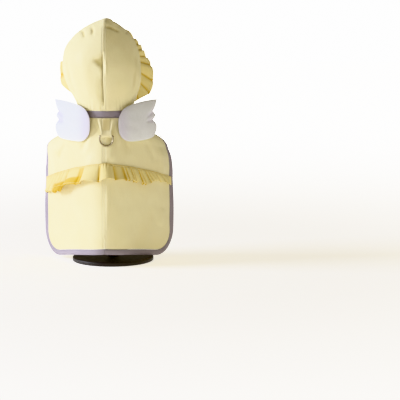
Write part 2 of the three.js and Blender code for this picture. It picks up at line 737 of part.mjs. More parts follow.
// A place on the middle of the front edge binding, mm along it from the collar.
function bindingStation(grid, along) {
  const edge = grid.points.map((row) => row[row.length - 1]);
  let walked = 0;
  let i = 0;
  while (walked < along) {
    walked += edge[i + 1].distanceTo(edge[i]);
    i++;
  }
  const normal = grid.normals[i][grid.normals[i].length - 1].clone();
  const out = normal.clone().cross(edge[i + 1].clone().sub(edge[i - 1])).normalize();
  return { point: edge[i].clone().addScaledVector(out, SEAM_GAP + BINDING_WIDTH / 2), normal };
}

// A snap part: a turned disc that lies on the binding. face: 1 on the outside, -1 towards the body.
function snapGeometry(profile, station, side, face) {
  const geometry = new THREE.LatheGeometry(profile.map(([r, h]) => new THREE.Vector2(r, h)), 20);
  const normal = station.normal.clone().multiplyScalar(face);
  const gap = face > 0 ? SNAP_OUTSIDE_GAP : SNAP_INSIDE_GAP;
  const centre = station.point.clone().addScaledVector(normal, BINDING_THICKNESS / 2 + gap);
  for (const v of [normal, centre]) v.x *= side;
  const turn = new THREE.Quaternion().setFromUnitVectors(new THREE.Vector3(0, 1, 0), normal);
  geometry.applyQuaternion(turn).translate(centre.x, centre.y, centre.z);
  return weldedLathe(geometry);
}

// A lathe with its seam and poles welded.
function weldedLathe(geometry) {
  for (const name of ["normal", "uv"]) geometry.deleteAttribute(name);
  return facingOut(mergeVertices(geometry, 1e-3));
}

// The dress form: one smooth solid through the rows of its table, flat at the foot.
function formGeometry() {
  const rows = 22;
  const around = 28;
  const top = FORM_ROWS[FORM_ROWS.length - 1];
  const positions = [0, FORM_ROWS[0].middleY, FORM_ROWS[0].height];
  for (let i = 0; i <= rows; i++) {
    const t = i / rows;
    const height = lerp(FORM_BOTTOM_Z, top.height, (t + smooth(t)) / 2);
    const row = rowAt(FORM_ROWS, "height", height);
    for (let j = 0; j < around; j++) {
      const turn = (2 * Math.PI * j) / around;
      const depth = Math.cos(turn) < 0 ? row.back : row.front;
      positions.push(row.halfWidth * Math.sin(turn), row.middleY + depth * Math.cos(turn), height);
    }
  }
  positions.push(0, top.middleY, top.height + CROWN_RISE);
  const last = positions.length / 3 - 1;
  const id = (i, j) => 1 + i * around + (j % around);
  const index = [];
  for (let j = 0; j < around; j++) {
    index.push(0, id(0, j), id(0, j + 1));
    for (let i = 0; i < rows; i++) {
      index.push(id(i, j), id(i + 1, j), id(i + 1, j + 1));
      index.push(id(i, j), id(i + 1, j + 1), id(i, j + 1));
    }
    index.push(last, id(rows, j + 1), id(rows, j));
  }
  const geometry = new THREE.BufferGeometry();
  geometry.setAttribute("position", new THREE.Float32BufferAttribute(positions, 3));
  geometry.setIndex(index);
  return facingOut(geometry);
}

// A turned piece of the stand, from a profile of radius and height.
function turnedGeometry(profile, segments) {
  const geometry = new THREE.LatheGeometry(profile.map(([r, h]) => new THREE.Vector2(r, h)), segments);
  return weldedLathe(geometry.rotateX(Math.PI / 2));
}

const clothFinish = finish(STATION_COLORS.cloth, 0.6);
const ruffleFinish = finish(STATION_COLORS.ruffle, 0.6);
const bindingFinish = finish(STATION_COLORS.binding, 0.7);
const wingFinish = finish(STATION_COLORS.wing, 0.8);
const metalFinish = finish(STATION_COLORS.metal, 0.3, 1);
const formFinish = finish(STATION_COLORS.form, 0.7);
const baseFinish = finish(STATION_COLORS.base, 0.4);

const cape = capeGrid();
addPair("cape_panel", thickWall(cape.points, cape.normals, CLOTH), clothFinish);
addPair("edge_binding", edgeBindingWall(cape), bindingFinish);
addPiece("collar_binding", collarGeometry(), bindingFinish);
addPair("hood", hoodWall(), clothFinish, swayed);
addPiece("back_ruffle", ruffleGeometry(backRuffleRoot, backSwell, BACK_RUFFLE), ruffleFinish);
addPiece("hood_ruffle", swayed(ruffleGeometry(hoodRuffleRoot, hoodSwell, HOOD_RUFFLE)), ruffleFinish);
addPiece("wing_right", wingGeometry(1), wingFinish);
addPiece("wing_left", wingGeometry(-1), wingFinish);
addPiece("ring_tab", tabGeometry(), clothFinish);
addPiece("d_ring", ringGeometry(), metalFinish);

const snapStation = bindingStation(cape, SNAP_ALONG);
addPiece("snap_cap", snapGeometry(SNAP_CAP, snapStation, -1, 1), metalFinish);
addPiece("snap_socket", snapGeometry(SNAP_SOCKET, snapStation, -1, -1), metalFinish);
addPiece("snap_stud", snapGeometry(SNAP_STUD, snapStation, 1, 1), metalFinish);
addPiece("snap_plate", snapGeometry(SNAP_PLATE, snapStation, 1, -1), metalFinish);

addPiece("dress_form", swayed(formGeometry()), formFinish);
const postProfile = [
  [0, BASE_HEIGHT + STAND_GAP],
  [POST_RADIUS, BASE_HEIGHT + STAND_GAP],
  [POST_RADIUS, FORM_BOTTOM_Z - STAND_GAP],
  [0, FORM_BOTTOM_Z - STAND_GAP],
];
const baseProfile = [
  [0, 0],
  [BASE_RADIUS - BASE_EDGE, 0],
  [BASE_RADIUS, BASE_EDGE],
  [BASE_RADIUS, BASE_HEIGHT - BASE_EDGE],
  [BASE_RADIUS - BASE_EDGE, BASE_HEIGHT],
  [0, BASE_HEIGHT],
];
addPiece("post", turnedGeometry(postProfile, 24), baseFinish).position.x = 0;
addPiece("base_disc", turnedGeometry(baseProfile, 48), baseFinish).position.x = 0;

export default part;
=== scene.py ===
"""Looks of a hooded rain cape with ruffles and wings, resting on its dress form.

Fields and tables are in millimetres, as a pattern cutter writes them. Meshes are in metres.
Across is measured from the spine seam, and is negative on the left. Down is measured from the neck.
"""
import logging
import math
from dataclasses import dataclass, replace
from enum import Enum
from typing import Callable

import bmesh
import bpy
import numpy as np
from bpy.types import Material, Node, NodeSocket, NodeTree, Object
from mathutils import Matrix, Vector

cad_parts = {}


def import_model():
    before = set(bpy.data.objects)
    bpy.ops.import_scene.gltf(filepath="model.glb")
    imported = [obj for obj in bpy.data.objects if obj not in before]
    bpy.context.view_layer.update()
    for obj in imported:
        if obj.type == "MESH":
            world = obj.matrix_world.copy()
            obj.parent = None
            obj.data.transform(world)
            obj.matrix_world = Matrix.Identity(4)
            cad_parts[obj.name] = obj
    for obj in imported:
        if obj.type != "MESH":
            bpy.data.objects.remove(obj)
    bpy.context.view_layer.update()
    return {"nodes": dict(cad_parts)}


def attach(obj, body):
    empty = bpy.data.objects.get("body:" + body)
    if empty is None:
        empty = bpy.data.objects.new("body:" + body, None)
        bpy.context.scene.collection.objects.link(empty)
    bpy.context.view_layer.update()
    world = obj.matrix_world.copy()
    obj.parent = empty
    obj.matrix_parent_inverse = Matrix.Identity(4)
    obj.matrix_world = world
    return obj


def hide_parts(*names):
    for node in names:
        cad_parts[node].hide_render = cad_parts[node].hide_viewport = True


LOG = logging.getLogger("raincoat")

MM = 0.001
TINY = 1e-9
WELD = 1e-7
GARMENT_X = -10.0
SEAM_GAP = 0.3
CLOTH = 1.2
COLLAR_BOTTOM = 260.0
COLLAR_HEIGHT = 12.0
THROAT_Y = 35.0
NECK_RADIUS = 46.0
BODY = "coat_on_form"
FORM_PIECE = "form_cover"

Array = np.ndarray
Colour = tuple[float, float, float]
Pairs = tuple[tuple[float, float], ...]
Surface = Callable[[Array, Array], Array]


class Side(Enum):
    """Side of the coat, seen from the back."""

    LEFT = -1
    RIGHT = 1

    @property
    def word(self) -> str:
        """The side's name in lower case."""
        return self.name.lower()


class Hold(Enum):
    """How a sheet of cloth is held, in the frame's words."""

    DRAPED = "draped"
    GATHERED = "gathered"
    FOLDED = "folded"


# ---- Curves and surfaces


def smooth(t: Array) -> Array:
    """Eases from 0 to 1 as t does.

    Args:
        t: Any values; those outside 0 to 1 are held at the ends.

    Returns:
        The eased values.
    """
    c = np.clip(t, 0.0, 1.0)
    return c * c * (3.0 - 2.0 * c)


def unit(v: Array) -> Array:
    """Vectors scaled to a length of one."""
    return v / np.maximum(np.linalg.norm(v, axis=-1, keepdims=True), TINY)


def turned(start: Array, end: Array, share: Array | float) -> Array | float:
    """A value between two others."""
    return start + (end - start) * share


def bell(distance: Array, reach: float) -> Array:
    """A bell curve, 1 at no distance and nearly nothing at twice its reach."""
    return np.exp(-((distance / reach) ** 2))


def cubic(t: Array, start: Array, end: Array, leave: Array, arrive: Array) -> Array:
    """A curve between two values that leaves the first and arrives at the second with given slopes."""
    t2, t3 = t * t, t * t * t
    return (
        (2 * t3 - 3 * t2 + 1) * start
        + (t3 - 2 * t2 + t) * leave
        + (3 * t2 - 2 * t3) * end
        + (t3 - t2) * arrive
    )


def side_of(across: Array) -> Array:
    """-1 on the left of a seam and 1 on its right."""
    return np.where(across < 0, -1.0, 1.0)


def off_seam(across: Array) -> Array:
    """Places moved just off the seam, where a surface has a corner."""
    return np.maximum(np.abs(across), 0.6) * side_of(across)


def lengths_along(points: Array, axis: int) -> Array:
    """Distances walked along one axis of a line or grid of points, from its start."""
    steps = np.linalg.norm(np.diff(points, axis=axis), axis=-1)
    shape = list(steps.shape)
    shape[axis] = 1
    return np.concatenate([np.zeros(shape), np.cumsum(steps, axis=axis)], axis=axis)


def off_line(points: Array, start: Array, end: Array) -> tuple[Array, Array]:
    """How far along a straight line points lie, as a share, and how far off it they are."""
    run = end - start
    t = np.clip(((points - start) @ run) / max(float(run @ run), TINY), 0.0, 1.0)
    return t, np.linalg.norm(points - (start + t[..., None] * run), axis=-1)


@dataclass(frozen=True)
class RowTable:
    """Rows of numbers with named columns, read between rows by a smooth curve.

    The first column is the key that the rows are ordered by.
    """

    columns: tuple[str, ...]
    rows: tuple[tuple[float, ...], ...]

    def at(self, values: Array) -> dict[str, Array]:
        """Reads every column.

        Args:
            values: Places in the key column.

        Returns:
            Column names to values, shaped like the places.
        """
        table = np.array(self.rows)
        keys = table[:, 0]
        last = len(keys) - 1
        i = np.clip(np.searchsorted(keys, values, side="right") - 1, 0, last - 1)
        before, after = np.maximum(i - 1, 0), np.minimum(i + 2, last)
        span = keys[i + 1] - keys[i]
        t = (values - keys[i]) / span
        read = {}
        for k, name in enumerate(self.columns):
            c = table[:, k]
            leave = (c[i + 1] - c[before]) / (keys[i + 1] - keys[before]) * span
            arrive = (c[after] - c[i]) / (keys[after] - keys[i]) * span
            read[name] = cubic(t, c[i], c[i + 1], leave, arrive)
        return read


@dataclass(frozen=True)
class Crease:
    """A soft ridge or trough along a path on a surface.

    path is in the surface's own two measures. lift is in mm out of the cloth, and negative in a trough.
    width is in mm. fade is the share of the length over which each end dies away.
    """

    path: Pairs
    lift: float
    width: float
    fade: float = 0.3


def crease_lift(points: Array, creases: tuple[Crease, ...], surface: Surface) -> Array:
    """Adds up how far creases lift a grid of points.

    Args:
        points: The grid's points, in mm.
        creases: The creases.
        surface: The surface that gives the places of their paths.

    Returns:
        The lift at each point, in mm.
    """
    total = np.zeros(points.shape[:-1])
    for crease in creases:
        corners = surface(*np.array(crease.path, dtype=float).T)
        walked = lengths_along(corners, 0)
        nearest, reached = np.full(total.shape, np.inf), np.zeros(total.shape)
        for start, end, before, after in zip(corners, corners[1:], walked, walked[1:]):
            t, gap = off_line(points, start, end)
            reached = np.where(gap < nearest, turned(before, after, t) / walked[-1], reached)
            nearest = np.minimum(nearest, gap)
        shown = smooth(np.minimum(reached, 1 - reached) / crease.fade)
        total += crease.lift * shown * bell(nearest, crease.width)
    return total


def puckers(along: Array, off: Array, pitch: float, reach: float) -> Array:
    """Small uneven puckers that die away from a seam, from -1 to 1.

    Args:
        along: Distances along the seam, in mm.
        off: Distances off the seam, in mm.
        pitch: Mean distance from pucker to pucker.
        reach: Distance at which they have died away.

    Returns:
        The puckers' height at each place.
    """
    turn = 2 * math.pi * along / pitch
    wave = np.sin(turn + 1.2 * np.sin(turn / 4.3 + 0.5)) * (0.6 + 0.4 * np.sin(turn / 3.1 + 1.1))
    return wave * bell(off, reach) * smooth(off / 2.0)


def trough_shade(lift: Array, starts: float = 0.9, over: float = 2.6, most: float = 0.6) -> Array:
    """How much shade is painted into a trough of the cloth, from 0 to 1, from its lift in mm."""
    return np.clip((-lift - starts) / over, 0.0, most)


def unevenness(a: Array, b: Array, size: float) -> Array:
    """Slow hand-made unevenness of a cloth, from -1 to 1.

    Args:
        a: First measure of the cloth, in mm.
        b: Second measure, in mm.
        size: Length of its slowest wave, in mm.

    Returns:
        The unevenness at each place.
    """
    u, v = a * 2 * math.pi / size, b * 2 * math.pi / size
    return (
        np.sin(u + 0.9 * np.sin(0.63 * v + 0.4)) * np.cos(0.81 * v - 0.7)
        + 0.5 * np.sin(1.73 * v + 1.4 * np.sin(0.57 * u + 1.9))
        + 0.3 * np.sin(2.37 * u - 1.61 * v + 2.2)
    ) / 1.8


@dataclass(frozen=True)
class Shoulder:
    """How the left shoulder of the cape stands out squarely."""

    out: float = 8.0
    height: float = 201.0
    spread: float = 17.0
    starts: float = 62.0
    over: float = 34.0

    def squared(self, points: Array) -> Array:
        """Points moved out at the shoulder, in mm."""
        x = points[..., 0]
        share = bell(points[..., 2] - self.height, self.spread) * smooth((-x - self.starts) / self.over)
        moved = points.copy()
        moved[..., 0] = x - self.out * share
        return moved


def normals_of(surface: Surface, a: Array, b: Array, step: float = 0.5) -> Array:
    """Unit normals of a surface, by differences."""
    along_a = surface(a + step, b) - surface(a - step, b)
    along_b = surface(a, b + step) - surface(a, b - step)
    return unit(np.cross(along_a, along_b))


@dataclass(frozen=True)
class CapeSurface:
    """Middle surface of the cape's cloth, from the neck to the hem."""

    half_girth: float = 177.0
    back_length: float = 226.0
    corner_radius: float = 44.0
    droop_power: float = 1.25
    ridge_length: float = 26.0
    lap_width: float = 5.0
    lap_starts: float = 25.0
    lap_ends: float = 8.0
    lap_fades: float = 60.0
    rows: RowTable = RowTable(
        ("down", "spine_y", "ridge", "wrap", "droop", "reach"),
        (
            (0, -57, 0, 224.2, 4, 130),
            (10, -58.5, 15, 134, 13, 151),
            (22, -61, 28, 63, 23, 169),
            (38, -65, 36, 37, 32, 175),
            (58, -69, 40.5, 26, 37, 177),
            (82, -72.5, 44.5, 19, 39, 177),
            (125, -77, 47.5, 13, 36, 177),
            (175, -80, 49.5, 10, 30, 177),
            (226, -82, 51, 9, 25, 177),
        ),
    )

    def points(self, across: Array, down: Array) -> Array:
        """Places on the surface.

        Args:
            across: Distances from the spine, in mm.
            down: Distances from the neck along the spine, in mm.

        Returns:
            Points in mm.
        """
        row = self.rows.at(down)
        reach = np.abs(across)
        steps = 24
        step = reach / steps
        x, y = np.zeros_like(reach), row["spine_y"].copy()
        for i in range(steps):
            s = (i + 0.5) * step
            turn = np.radians(row["ridge"] * np.tanh(s / self.ridge_length) + row["wrap"] * s / 180.0)
            x = x + np.cos(turn) * step
            y = y + np.sin(turn) * step
        droop = row["droop"] * (reach / self.half_girth) ** self.droop_power
        return np.stack([side_of(across) * x, y, COLLAR_BOTTOM - SEAM_GAP - down - droop], axis=-1)

    def normals(self, across: Array, down: Array) -> Array:
        """Outward unit normals."""
        return -normals_of(self.points, off_seam(across), np.clip(down, 0.5, self.back_length - 0.5))

    def lap(self, down: Array) -> Array:
        """How far the edge tape laps over the front edge at a distance down, in mm."""
        above_end = self.back_length - self.lap_ends - down
        return self.lap_width * smooth(above_end / self.lap_fades) * smooth(down / self.lap_starts)

    def reach(self, down: Array) -> Array:
        """Panel width at a distance down, with the hem corner rounded."""
        into_corner = np.maximum(down - (self.back_length - self.corner_radius), 0.0)
        pulled_in = self.corner_radius - np.sqrt(np.maximum(self.corner_radius**2 - into_corner**2, 0.0))
        return self.rows.at(down)["reach"] - pulled_in

    def row_places(self, even: int, corner: int) -> Array:
        """Rows for a mesh: even down to the hem corner, then closer round it."""
        straight = self.back_length - self.corner_radius
        above = straight * np.linspace(0, 1, even, endpoint=False)
        turn = np.linspace(0, math.pi / 2, corner + 1)
        return np.concatenate([above, straight + self.corner_radius * np.sin(turn)])


@dataclass(frozen=True)
class HoodSurface:
    """Middle surface of the hood: slices that fan out from a line across the throat."""

    throat_radius: float = 3.0
    end_round: float = 163.0
    sway: float = -9.0
    sway_power: float = 1.5
    sway_from_seam: float = 25.0
    top: float = 432.0
    slices: RowTable = RowTable(
        ("angle", "reach", "width", "middle", "peak"),
        (
            (0, 92, 46, 46, 1.0),
            (14, 101, 51, 53, 1.15),
            (30, 120, 58, 66, 1.35),
            (46, 143, 65, 80, 1.5),
            (62, 162, 67, 91, 1.55),
            (72, 166, 67, 92, 1.45),
            (83, 148, 63, 85, 1.25),
            (93, 128, 57, 74, 1.1),
        ),
    )

    @property
    def face_angle(self) -> float:
        """Slice angle of the face edge."""
        return self.slices.rows[-1][0]

    def points(self, around: Array, angle: Array) -> Array:
        """Places on the surface.

        Args:
            around: Degrees round a slice from the centre seam, negative on the left.
            angle: Slice angle from the neck plane, in degrees.

        Returns:
            Points in mm, before the hood's lean.
        """
        row = self.slices.at(angle)
        t = np.radians(np.abs(around))
        beyond = np.abs(around) > 90
        sine = np.sin(t)
        x = side_of(around) * row["width"] * np.where(beyond, sine, np.abs(sine) ** row["peak"])
        rise = np.where(beyond, row["middle"] - self.throat_radius, row["reach"] - row["middle"])
        from_throat = row["middle"] + rise * np.cos(t)
        foot = COLLAR_BOTTOM + COLLAR_HEIGHT + SEAM_GAP
        slope = np.radians(angle)
        y, z = THROAT_Y - from_throat * np.cos(slope), foot + from_throat * np.sin(slope)
        return np.stack([x, y, z], axis=-1)

    def normals(self, around: Array, angle: Array) -> Array:
        """Outward unit normals."""
        return normals_of(self.points, off_seam(around), np.clip(angle, 0.5, self.face_angle - 0.5))

    def swayed(self, points: Array) -> Array:
        """Points moved as the filled hood leans to the left of its seam."""
        foot = COLLAR_BOTTOM + COLLAR_HEIGHT
        up = np.clip((points[..., 2] - foot) / (self.top - foot), 0.0, 1.0)
        x = points[..., 0]
        share = x**2 / (x**2 + self.sway_from_seam**2)
        moved = points.copy()
        moved[..., 0] = x + self.sway * share * np.sin(math.pi * up**self.sway_power)
        return moved


CAPE = CapeSurface()
HOOD = HoodSurface()
SHOULDER = Shoulder()


# ---- Meshes


def linked(name: str, data: bpy.types.ID) -> Object:
    """Makes an object round its data, in the scene."""
    thing = bpy.data.objects.new(name, data)
    bpy.context.collection.objects.link(thing)
    return thing


def piece_of(name: str, bm: bmesh.types.BMesh) -> Object:
    """Makes a bmesh into a piece of the scene, and frees it."""
    mesh = bpy.data.meshes.new(name)
    bm.to_mesh(mesh)
    bm.free()
    return linked(name, mesh)


def cleaned(bm: bmesh.types.BMesh) -> bmesh.types.BMesh:
    """Joins points that meet, turns the faces outwards and smooths them."""
    bmesh.ops.remove_doubles(bm, verts=bm.verts, dist=WELD)
    bmesh.ops.recalc_face_normals(bm, faces=bm.faces)
    for face in bm.faces:
        face.smooth = True
    return bm


def grid_object(name: str, points: Array, flat: Array, painted_shade: Array | None = None) -> Object:
    """Makes a piece from a grid of points. Edges of the grid that meet are joined.

    Args:
        name: Name of the piece.
        points: Rows by columns of points in mm, in the coat's own place.
        flat: The same grid laid flat, in mm, which becomes the UV map in metres.
        painted_shade: How much shade is painted into each point's colour, from 0 to 1.

    Returns:
        The object, linked to the scene.
    """
    rows, columns = points.shape[:2]
    bm = bmesh.new()
    uv = bm.loops.layers.uv.new("cloth")
    # Each point carries the shade painted into its colour, as a float attribute that the cloth material
    # reads.
    shade_paint = bm.verts.layers.float.new("painted_shade")
    bmesh.ops.create_grid(bm, x_segments=columns - 1, y_segments=rows - 1, size=0.5)
    cell = {
        v: (round((v.co.y + 0.5) * (rows - 1)), round((v.co.x + 0.5) * (columns - 1))) for v in bm.verts
    }
    placed = points * MM + np.array([GARMENT_X * MM, 0.0, 0.0])
    for vert, (i, j) in cell.items():
        vert.co = placed[i, j]
        vert[shade_paint] = 0.0 if painted_shade is None else float(painted_shade[i, j])
    for face in bm.faces:
        for loop in face.loops:
            i, j = cell[loop.vert]
            loop[uv].uv = flat[i, j] * MM
    return piece_of(name, cleaned(bm))


def finished(piece: Object, sharp_degrees: float = 50.0) -> Object:
    """Applies a piece's modifiers and keeps its sharp edges sharp."""
    bpy.context.view_layer.update()
    evaluated = piece.evaluated_get(bpy.context.evaluated_depsgraph_get())
    mesh = bpy.data.meshes.new_from_object(evaluated)
    piece.modifiers.clear()
    piece.data = mesh
    mesh.name = piece.name
    mesh.set_sharp_from_angle(angle=math.radians(sharp_degrees))
    return piece


def walled(piece: Object, thickness: float) -> Object:
    """Gives a sheet its thickness, half to each side of its grid."""
    wall = piece.modifiers.new("wall", "SOLIDIFY")
    wall.thickness = thickness * MM
    wall.offset = 0.0
    wall.use_quality_normals = True
    return finished(piece)


def squarer(wave: Array, power: float) -> Array:
    """A wave pushed out towards -1 and 1."""
    return np.sign(wave) * np.abs(wave) ** power


def tape(
    name: str, centre: Array, out: Array, normal: Array, width: Array | float, thickness: float
) -> Object:
    """Makes a folded tape with round edges along a line.

    Args:
        name: Name of the piece.
        centre: Points along the tape's middle, in mm.
        out: Unit vectors across the tape.
        normal: Unit vectors out of the tape's face.
        width: Finished width, or the width at each point.
        thickness: Finished thickness.

    Returns:
        The tape, closed at both ends.
    """
    around = 28
    turn = np.linspace(0, 2 * math.pi, around + 1)
    across, lift = squarer(np.cos(turn), 0.42), squarer(np.sin(turn), 0.7)
    walked = lengths_along(centre, 0)
    pucker = 1 + 0.07 * np.sin(2 * math.pi * walked / 5.3 + 0.8 * np.sin(walked / 17.0))
    half, thick = width / 2 * np.ones(len(centre)), thickness / 2 * pucker
    ring = (
        centre[:, None, :]
        + out[:, None, :] * (half[:, None] * across[None, :])[..., None]
        + normal[:, None, :] * (thick[:, None] * lift[None, :])[..., None]
    )
    ring[:, -1] = ring[:, 0]
    ends = [np.repeat(centre[[k]][:, None, :], around + 1, axis=1) for k in (0, -1)]
    points = np.concatenate([ends[0], ring, ends[1]], axis=0)
    half = np.concatenate([half[:1], half, half[-1:]])
    across_flat = half[:, None] * across[None, :]
    along_flat = np.concatenate([walked[:1], walked, walked[-1:]])[:, None] + 0 * across_flat
    return grid_object(name, points, np.stack([across_flat, along_flat], axis=-1))


def spun(name: str, profile: Pairs, steps: int) -> Object:
    """Turns a profile of radius and height, in mm, round the stand's axis."""
    bm = bmesh.new()
    verts = [bm.verts.new((r * MM, 0.0, h * MM)) for r, h in profile]
    edges = [bm.edges.new(pair) for pair in zip(verts[:-1], verts[1:])]
    bmesh.ops.spin(
        bm,
        geom=verts + edges,
        cent=(0, 0, 0),
        axis=(0, 0, 1),
        angle=2 * math.pi,
        steps=steps,
        use_merge=True,
        use_duplicate=False,
    )
    piece = piece_of(name, cleaned(bm))
    piece.data.set_sharp_from_angle(angle=math.radians(60))
    return piece


# ---- Finishes


@dataclass
class Wiring:
    """A material's or group's nodes while they are being joined."""

    tree: NodeTree

    def add(self, kind: str, **settings: object) -> Node:
        """Adds a node and sets its own options."""
        node = self.tree.nodes.new(kind)
        for key, value in settings.items():
            setattr(node, key, value)
        return node

    def feed(self, socket: NodeSocket, value: object) -> None:
        """Links an output to a socket, or sets the socket's value."""
        if isinstance(value, NodeSocket):
            self.tree.links.new(value, socket)
        else:
            socket.default_value = value

    def fed(self, node: Node, values: dict[str | int, object]) -> Node:
        """Feeds a node's inputs by name or number, and gives the node back."""
        for key, value in values.items():
            self.feed(node.inputs[key], value)
        return node

    def math(self, operation: str, *values: object) -> NodeSocket:
        """A Math node's result."""
        node = self.add("ShaderNodeMath", operation=operation)
        return self.fed(node, dict(enumerate(values))).outputs[0]

    def ramp(
        self, value: object, low: float, high: float, to_low: float = 0.0, to_high: float = 1.0
    ) -> NodeSocket:
        """A value carried smoothly from one range to another."""
        node = self.add("ShaderNodeMapRange", interpolation_type="SMOOTHSTEP")
        given = {"Value": value, "From Min": low, "From Max": high, "To Min": to_low, "To Max": to_high}
        return self.fed(node, given).outputs["Result"]

    def mix(self, share: object, first: object, second: object) -> NodeSocket:
        """Two colours mixed by a share."""
        node = self.add("ShaderNodeMix", data_type="RGBA")
        return self.fed(node, {0: share, 6: first, 7: second}).outputs[2]

    def noise(self, vector: object, scale: object, detail: float) -> NodeSocket:
        """A noise value."""
        node = self.add("ShaderNodeTexNoise")
        return self.fed(node, {"Vector": vector, "Scale": scale, "Detail": detail}).outputs["Fac"]

    def split(self, vector: NodeSocket) -> tuple[NodeSocket, NodeSocket]:
        """A vector's first two parts."""
        parts = self.fed(self.add("ShaderNodeSeparateXYZ"), {0: vector}).outputs
        return parts[0], parts[1]

    def group(self, tree: NodeTree, **values: object) -> Node:
        """Places a node group and feeds its inputs by name."""
        node = self.add("ShaderNodeGroup", node_tree=tree)
        return self.fed(node, {key.title(): value for key, value in values.items()})

    def bump(self, shader: Node, height: NodeSocket) -> None:
        """Gives a shader's surface its height in metres."""
        node = self.fed(self.add("ShaderNodeBump"), {"Strength": 1.0, "Distance": 1.0, "Height": height})
        self.feed(shader.inputs["Normal"], node.outputs[0])


def new_material(name: str) -> tuple[Material, Wiring, Node]:
    """Starts a material, with its wiring and its shader."""
    material = bpy.data.materials.new(name)
    material.use_nodes = True
    return material, Wiring(material.node_tree), material.node_tree.nodes["Principled BSDF"]


def new_group(
    name: str, inputs: dict[str, str], outputs: dict[str, str]
) -> tuple[Wiring, Node, Node]:
    """Starts a shader node group.

    Args:
        name: The group's name.
        inputs: Input names to socket types.
        outputs: Output names to socket types.

    Returns:
        Its wiring, its input node and its output node.
    """
    tree = bpy.data.node_groups.new(name, "ShaderNodeTree")
    for direction, sockets in (("INPUT", inputs), ("OUTPUT", outputs)):
        for label, kind in sockets.items():
            tree.interface.new_socket(label, in_out=direction, socket_type=kind)
    wiring = Wiring(tree)
    return wiring, wiring.add("NodeGroupInput"), wiring.add("NodeGroupOutput")


FLOAT = "NodeSocketFloat"
VECTOR = "NodeSocketVector"
STITCH_PITCH = 0.0028
STITCH_DEPTH = 0.0004


def weave_group() -> NodeTree:
    """A plain weave on a cloth's flat measures, and the faint slubs in its threads."""
    w, given, result = new_group(
        "plain_weave", {"Flat": VECTOR, "Threads": FLOAT}, {"Height": FLOAT, "Slub": FLOAT}
    )
    flat = given.outputs["Flat"]
    turn = w.math("MULTIPLY", given.outputs["Threads"], 2 * math.pi)
    warp, weft = (w.math("SINE", w.math("MULTIPLY", part, turn)) for part in w.split(flat))
    stretch = w.fed(w.add("ShaderNodeVectorMath", operation="MULTIPLY"), {0: flat, 1: (1.0, 14.0, 1.0)})
    slub = w.noise(stretch.outputs[0], 260.0, 2.0)
    w.fed(result, {"Height": w.math("MULTIPLY", warp, weft), "Slub": slub})
    return w.tree


def crumple_group() -> NodeTree:
    """Small soft creases of a handled cloth."""
    w, given, result = new_group("soft_crumple", {"Place": VECTOR, "Size": FLOAT}, {"Height": FLOAT})
    scale = w.math("DIVIDE", 1.0, given.outputs["Size"])
    broad = w.noise(given.outputs["Place"], scale, 2.0)
    fine = w.noise(given.outputs["Place"], w.math("MULTIPLY", scale, 3.1), 2.0)
    folded = w.math("ABSOLUTE", w.math("SUBTRACT", fine, 0.5))
    w.feed(result.inputs["Height"], w.math("SUBTRACT", broad, w.math("MULTIPLY", folded, 0.5)))
    return w.tree


def stitch_group() -> NodeTree:
    """One row of machine stitches: dashes in a sunk line."""
    w, given, result = new_group(
        "stitch_row",
        {"Along": FLOAT, "Across": FLOAT, "Line": FLOAT, "Pitch": FLOAT},
        {"Thread": FLOAT, "Height": FLOAT},
    )
    off = w.math("ABSOLUTE", w.math("SUBTRACT", given.outputs["Across"], given.outputs["Line"]))
    line = w.ramp(off, 0.00022, 0.00042, 1.0, 0.0)
    beat = w.math("FRACT", w.math("DIVIDE", given.outputs["Along"], given.outputs["Pitch"]))
    dash = w.ramp(w.math("ABSOLUTE", w.math("SUBTRACT", beat, 0.5)), 0.33, 0.4, 1.0, 0.0)
    thread = w.math("MULTIPLY", line, dash)
    groove = w.ramp(off, 0.0, 0.0016, 1.0, 0.0)
    height = w.math("SUBTRACT", w.math("MULTIPLY", thread, 0.8), groove)
    w.fed(result, {"Thread": thread, "Height": height})
    return w.tree


@dataclass(frozen=True)
class StitchRow:
    """A row of stitches at a place on a cloth's flat measures, in mm.

    down is true where the row runs down them, and false where it runs across.
    """

    at: float
    down: bool = True


@dataclass(frozen=True)
class Grain:
    """The node groups that the finishes share."""

    weave: NodeTree
    crumple: NodeTree
    stitch: NodeTree


